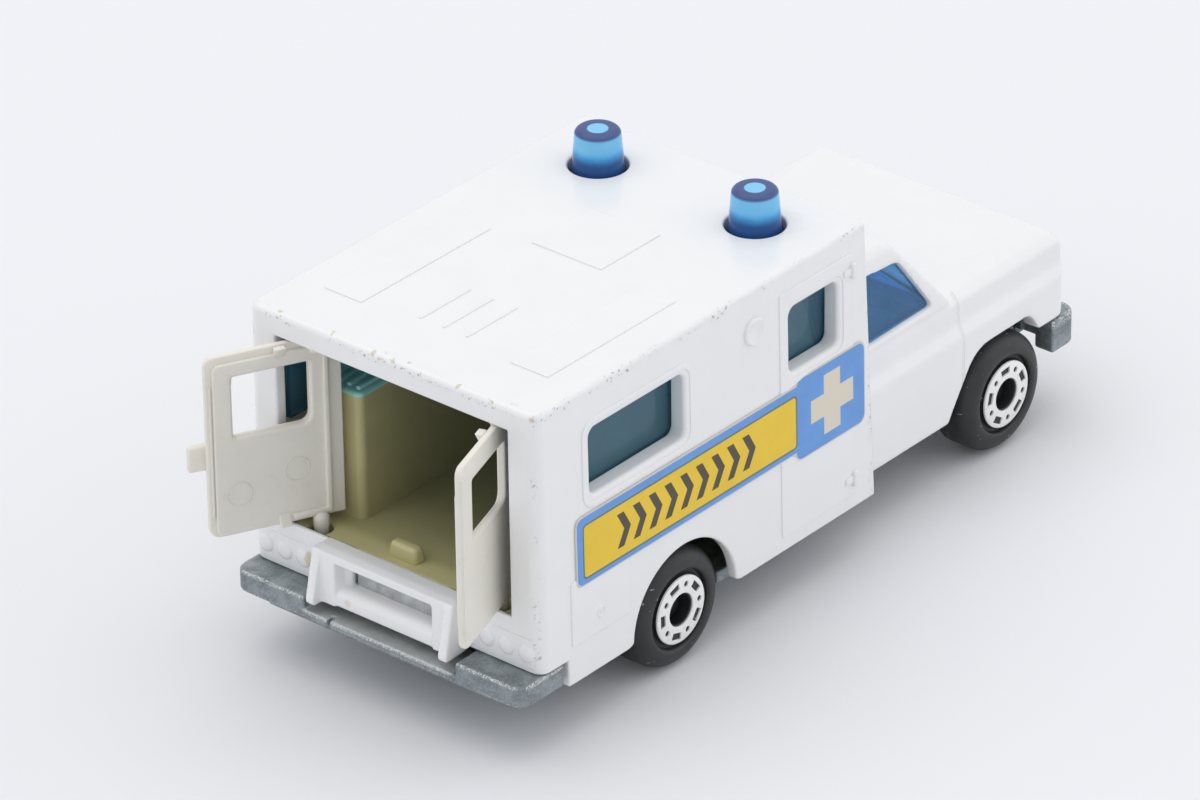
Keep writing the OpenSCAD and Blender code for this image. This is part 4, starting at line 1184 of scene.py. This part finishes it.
class AMBULANCE_OT_interior(bpy.types.Operator):
    """Model the olive interior: floor, ribbed locker, stop block and cab seat"""

    bl_idname = "ambulance.interior"
    bl_label = "Interior"
    bl_options = {"REGISTER", "UNDO"}

    SEAT = 3.95
    # Cab floor, seat, seat back, facia and two legs, by their corners
    CAB_BLOCKS = (((-1.1, -11.9, FLOOR - 0.98), (12.75, 11.9, FLOOR - 0.02)),
                  ((SEAT, -9.5, FLOOR - 0.2), (SEAT + 5, 9.5, FLOOR + 2.6)),
                  ((SEAT, -9.5, FLOOR - 0.1), (SEAT + 1.4, 9.5, FLOOR + 7)),
                  ((11.25, -9.5, FLOOR - 0.2), (12.75, 9.5, 15.9)),
                  ((-9.1, 5.0, 5.3), (-6.1, 7.0, FLOOR - 0.2)),
                  ((-9.1, -7.0, 5.3), (-6.1, -5.0, FLOOR - 0.2)))

    def execute(self, context):
        ground = block("Floor_pan", (-38.95, -13.43, FLOOR - 1), (-0.2, 13.43, FLOOR))
        for side in (-1, 1):
            y0, y1 = sorted((side * 10.7, side * 20))
            carve(ground,
                  drum("Pin_hole", (HINGE_X, side * HINGE_Y, FLOOR), 1.0, 4, "Z", 48),
                  block("Wheel_room", (-AXLE_X - 6.55, y0, 9), (-AXLE_X + 6.55, y1, 11.0)))
        pieces = [soften(ground, 0.12)]
        locker = block("Locker", (-35.5, 7.635, FLOOR - 0.5), (-16.35, 12.635, 23.2))
        with Editing(locker) as edit:
            edit.pick("edges", lambda p, e: abs(e.verts[0].co.z - e.verts[1].co.z) > 5 * MM)
            edit.bevel(0.7, 5)
            edit.pick("edges", lambda p, e: p.z > 23.1)
            edit.bevel(0.35, 4)
        pieces.append(locker)
        for i in range(4):
            low = 8.15 + i
            rib = block("Locker_rib", (-34.9, low, 22.6), (-16.9, low + 0.45, 23.5))
            pieces.append(soften(rib, 0.14))
        stop = block("Stop", (-38.3, -0.45, FLOOR - 0.2), (-36.9, 2.65, FLOOR + 1.35))
        with Editing(stop) as edit:
            edit.pick("verts", lambda p, v: p.z > 12)
            middle = Vector((-37.6, 1.1, 12.75)) * MM
            bpy.ops.transform.resize(value=(0.75, 0.88, 1), center_override=middle)
        pieces.append(soften(stop, 0.36, 5))
        for low, high in self.CAB_BLOCKS:
            pieces.append(soften(block("Cab_block", low, high), 0.4))
        rim = [(1.75, 0.1), (1.85, 0.3), (2.1, 0.38), (2.3, 0.2), (2.2, 0), (1.95, -0.05), (1.75, 0.1)]
        wheel = turned("Steering", rim, 48)
        stem = [(0, 0.3), (0.6, 0.2), (0.62, 0), (0.45, -0.2), (0.45, -2.0), (0, -2.0)]
        column = turned("Column", stem, 24)
        spokes = soften(block("Spokes", (-0.25, -2, 0.02), (0.25, 2, 0.25)), 0.08, 2)
        tilt = at(9.7, 5, 15.4) @ turn_by(-60, "Y")
        pieces += [apply_place(p, tilt) for p in (wheel, column, spokes)]
        whole = gather("Interior", pieces)
        dress(whole, finish("interior"), "chassis", ["interior_moulding"])
        return {"FINISHED"}


class AMBULANCE_OT_doors(bpy.types.Operator):
    """Model the two rear doors on their hinges"""

    bl_idname = "ambulance.doors"
    bl_label = "Rear doors"
    bl_options = {"REGISTER", "UNDO"}

    OUT, IN = -0.85, -0.05
    FREE, TAIL_END = -9.48, 2.3
    LOW, HIGH = 12.35, 29.03
    WINDOW = (-7.18, 21.43, -0.58, 26.93)
    TAB = [(-1.78, -10.8), (-1.08, -10.78), (-1.05, -9.6), (-0.6, -8.4), (-1.78, -8.3)]

    def execute(self, context):
        leaf = self.leaf()
        tabbed = placed_copy(leaf, "Left_tabbed", Matrix.Identity(4))
        tab = prism("Tab", eased(self.TAB, 0.28), "XY", 18.4, 20.7)
        tabbed = gather("Left_tabbed", [tabbed, soften(tab, 0.2)])
        left = at(HINGE_X, HINGE_Y, 0) @ turn_by(-LEFT_OPEN, "Z")
        right = at(HINGE_X, -HINGE_Y, 0) @ turn_by(RIGHT_OPEN, "Z")
        door = named(apply_place(tabbed, left), "Left_door")
        dress(door, finish("door"), "left_door", ["left_rear_door"])
        door = apply_place(twin(leaf, "Right_door"), right)
        dress(door, finish("door"), "right_door", ["right_rear_door"])
        discard(leaf)
        return {"FINISHED"}

    def leaf(self):
        """One door, closed and on the left, with its hinge axis at the origin."""
        free, foot, head, tail = self.FREE, self.LOW, self.HIGH, self.TAIL_END
        outline = (arc(free + 1.0, foot + 1.0, 1.0, 180, 270) + [(tail, foot), (tail, head)]
                   + arc(free + 0.8, head - 0.8, 0.8, 90, 180))
        panel = prism("Leaf", outline, "YZ", self.OUT, self.IN - 0.25)
        carve(panel, prism("Hole", self.hole(0), "YZ", -3, 3))
        pieces = [soften(panel, 0.16)]
        # Thicker field of the inner face, set in from the free and top edges
        field = (arc(free + 1.2, foot + 0.8, 0.65, 180, 270)
                 + [(tail - 1.2, foot + 0.2), (tail - 1.2, head - 0.7)]
                 + arc(free + 1.2, head - 1.3, 0.6, 90, 180))
        pad = prism("Field", field, "YZ", self.IN - 0.45, self.IN)
        carve(pad, prism("Hole", self.hole(0.02), "YZ", -3, 3))
        with Editing(pad) as edit:
            edit.tidy()
            edit.pick("edges", lambda p, e: p.x > self.IN - 0.01 and -7.4 < p.y < -0.4
                      and 21.2 < p.z < 27.2)
            edit.bevel(0.32, 4)
        pieces.append(soften(pad, 0.17))
        # Stiffening bead by the hinge that turns along the foot, and one along the free edge
        bead = eased([(0.5, foot + 1.0), (0.5, head - 0.4), (1.0, head - 0.4), (1.0, foot + 0.5),
                      (-2.4, foot + 0.5), (-2.4, foot + 1.0)], 0.2)
        pieces.append(soften(prism("Bead", bead, "YZ", self.IN - 0.2, self.IN + 0.3), 0.16, 4))
        line = rounded(free + 0.28, foot + 1.9, free + 0.5, head - 2.6, 0.1, 3)
        pieces.append(soften(prism("Edge_bead", line, "YZ", self.IN - 0.4, self.IN - 0.1), 0.1))
        # Raised border along the free edge of the outer face
        border = rounded(free + 0.12, foot + 0.9, free + 0.85, head - 0.9, 0.3, 3)
        pieces.append(soften(prism("Border", border, "YZ", self.OUT - 0.09, self.OUT + 0.3), 0.08))
        # Wedges under the head and over the foot
        for edge, tip in ((head - 0.1, head - 1.15), (foot + 0.05, foot + 1.3)):
            wedge = [(self.IN - 0.2, edge), (self.IN + 0.5, edge), (self.IN - 0.05, tip),
                     (self.IN - 0.2, tip)]
            pieces.append(soften(prism("Wedge", wedge, "XZ", -3.6, -2.6), 0.1))
        # Hinge pins: a round-topped boss over the floor, and a stub into the roof
        foot_pin = arc(0, 12.4, 0.68, 90, 0) + [(0.68, 11.75), (0.6, 11.5), (0.6, 9.15), (0, 9.1)]
        head_pin = [(0, 30.5), (0.55, 30.5), (0.6, 30.4), (0.6, 29.05), (0.7, 28.9), (0.7, 28.3),
                    (0.5, 27.9), (0, 27.8)]
        pieces.append(turned("Foot_pin", foot_pin, 40))
        pieces.append(turned("Head_pin", head_pin, 40))
        # Ejector pin marks: faint rings on the inner face
        for y, z in ((-6.9, 16.2), (-1.9, 17.4)):
            ring = turned("Pin_mark", [(0.98, 0.0), (1.02, 0.035), (1.1, 0.035), (1.14, 0.0),
                                       (1.14, -0.2), (0.98, -0.2), (0.98, 0.0)], 48)
            pieces.append(apply_place(ring, at(self.IN, y, z) @ turn_by(90, "Y")))
        return gather("Leaf", pieces)

    def hole(self, far):
        """The window's outline: its lower corner by the hinge is the roundest."""
        y0, z0, y1, z1 = self.WINDOW
        y0, z0, y1, z1 = y0 - far, z0 - far, y1 + far, z1 + far
        return eased([(y0, z0), (y1, z0), (y1, z1), (y0, z1)], [0.3, 0.9, 0.3, 0.3])


class AMBULANCE_OT_wheels(bpy.types.Operator):
    """Model one wheel with its hub print and copy it to all four corners"""

    bl_idname = "ambulance.wheels"
    bl_label = "Wheels"
    bl_options = {"REGISTER", "UNDO"}

    HUB_R, CUP_R, BORE_R = 3.0, 1.38, 0.66
    HOLES = 5
    SLOT = [(-0.52, 2.0), (0.52, 2.0), (0.62, 2.62), (-0.62, 2.62)]
    FRONT_TURN, REAR_TURN = 5, 20
    CORNERS = (("front_left", AXLE_X, FRONT_FACE, 1), ("front_right", AXLE_X, FRONT_FACE, -1),
               ("rear_left", -AXLE_X, REAR_FACE, 1), ("rear_right", -AXLE_X, REAR_FACE, -1))

    def execute(self, context):
        w, hub, cup, bore = WHEEL_W, self.HUB_R, self.CUP_R, self.BORE_R
        tread = arc(WHEEL_R - 0.6, 0.6, 0.6, -90, 0, 5) + arc(WHEEL_R - 1.45, w - 1.5, 1.45, 0, 90, 10)
        dish = [(3.75, w - 0.06), (3.62, w - 0.12), (3.52, w - 0.3), (3.46, w - 0.62), (3.3, w - 0.68),
                (3.12, w - 0.64), (hub + 0.02, w - 0.5), (hub + 0.01, w - 0.2), (hub - 0.06, w - 0.14),
                (cup + 0.12, w - 0.14), (cup, w - 0.24), (cup - 0.06, w - 1.55), (bore, w - 1.6)]
        tyre = turned("Tyre", [(bore, 0.05)] + tread + dish + [(bore, 0.05)], sizes().wheel_steps)
        band = [(cup + 0.1, w - 0.2), (cup + 0.1, w - 0.05), (cup + 0.16, w), (hub - 0.1, w),
                (hub, w - 0.07), (hub + 0.02, w - 0.2), (cup + 0.1, w - 0.2)]
        print_ring = turned("Hub", band, 96)
        # Slots and round holes by turns
        for i in range(self.HOLES):
            angle = math.tau * i / self.HOLES
            slot = prism("Slot", self.SLOT, "XY", w - 1, w + 1)
            apply_place(slot, Matrix.Rotation(angle, 4, "Z"))
            dot = drum("Dot", (0, 2.28, w), 0.27, 2, "Z", 24)
            apply_place(dot, Matrix.Rotation(angle + math.tau / (2 * self.HOLES), 4, "Z"))
            carve(print_ring, slot, dot)
        for corner, x, face, side in self.CORNERS:
            roll = self.REAR_TURN if x < 0 else self.FRONT_TURN
            place = at(x, side * (face - w), AXLE_Z) @ turn_by(-90 * side, "X") @ turn_by(roll, "Z")
            wheel = placed_copy(tyre, corner.title() + "_wheel", place)
            dress(wheel, finish("tyre"), corner, [corner + "_wheel"], angle=45)
            ring = placed_copy(print_ring, corner.title() + "_hub", place)
            dress(ring, finish("hub"), corner, slivers=True)
        discard(tyre)
        discard(print_ring)
        return {"FINISHED"}


class AMBULANCE_OT_axles(bpy.types.Operator):
    """Model the axle wires with their rounded heads"""

    bl_idname = "ambulance.axles"
    bl_label = "Axles"
    bl_options = {"REGISTER", "UNDO"}

    def execute(self, context):
        for name, x, face in (("front_axle", AXLE_X, FRONT_FACE), ("rear_axle", -AXLE_X, REAR_FACE)):
            end = face - 0.95
            head = [(1.05, end - 0.42), (1.05, end - 0.2), (0.9, end - 0.06), (0.6, end),
                    (0, end + 0.03)]
            other_head = [(r, -h) for r, h in reversed(head)]
            shaft = [(0.58, 0.45 - end), (0.58, end - 0.45)]
            wire = turned(name.title(), other_head + shaft + head, 40)
            place = at(x, 0, AXLE_Z) @ turn_by(90, "X")
            dress(apply_place(wire, place), finish("steel"), "chassis", [name])
        return {"FINISHED"}


class AMBULANCE_OT_labels(bpy.types.Operator):
    """Model the two printed side labels"""

    bl_idname = "ambulance.labels"
    bl_label = "Labels"
    bl_options = {"REGISTER", "UNDO"}

    def execute(self, context):
        x0, x1, low, high = LABEL_REAR, LABEL_FRONT, LABEL_LOW, LABEL_HIGH
        foot, head = low - LABEL_DROP, high + LABEL_RISE
        outline = [(x0, low), (-8.45, low), (-7.6, foot), (x1, foot), (x1, head), (-6.25, head),
                   (-8.65, high), (x0, high)]
        reach = [0.7, 0.25, 0.25, 0.9, 0.9, 0.5, 0.4, 0.9]
        sheet = prism("Label", eased(outline, reach, 5), "XZ", -0.17, -0.01)
        with Editing(sheet) as edit:
            edit.pick("edges", lambda p, e: p.y < -0.1 and all(v.co.y < -0.1 * MM for v in e.verts))
            edit.bevel(0.04, 2)
        right = named(onto_wall(sheet), "Label_right")
        left = twin(right, "Label_left")
        dress(right, finish("label"), "chassis", ["right_label"])
        dress(left, finish("label"), "chassis", ["left_label"])
        return {"FINISHED"}


STEPS = (AMBULANCE_OT_stage, AMBULANCE_OT_box, AMBULANCE_OT_box_relief, AMBULANCE_OT_tail,
         AMBULANCE_OT_cab, AMBULANCE_OT_base, AMBULANCE_OT_glazing, AMBULANCE_OT_interior,
         AMBULANCE_OT_doors, AMBULANCE_OT_wheels, AMBULANCE_OT_axles, AMBULANCE_OT_labels)


class AMBULANCE_PT_panel(bpy.types.Panel):
    """Lists the steps and the sizes and colours behind them"""

    bl_idname = "AMBULANCE_PT_panel"
    bl_label = "Toy ambulance"
    bl_space_type = "VIEW_3D"
    bl_region_type = "UI"
    bl_category = "Ambulance"

    def draw(self, context):
        for step in STEPS:
            self.layout.operator(step.bl_idname)
        for group in (context.scene.ambulance_sizes, context.scene.ambulance_colours):
            for key in group.__annotations__:
                self.layout.prop(group, key)


CLASSES = (AmbulanceSizes, AmbulanceColours, *STEPS, AMBULANCE_PT_panel)


def register():
    for each in CLASSES:
        bpy.utils.register_class(each)
    bpy.types.Scene.ambulance_sizes = PointerProperty(type=AmbulanceSizes)
    bpy.types.Scene.ambulance_colours = PointerProperty(type=AmbulanceColours)


def unregister():
    del bpy.types.Scene.ambulance_colours
    del bpy.types.Scene.ambulance_sizes
    for each in reversed(CLASSES):
        bpy.utils.unregister_class(each)


def main():
    register()
    for step in STEPS:
        group, name = step.bl_idname.split(".")
        getattr(getattr(bpy.ops, group), name)()


if __name__ == "__main__":
    main()
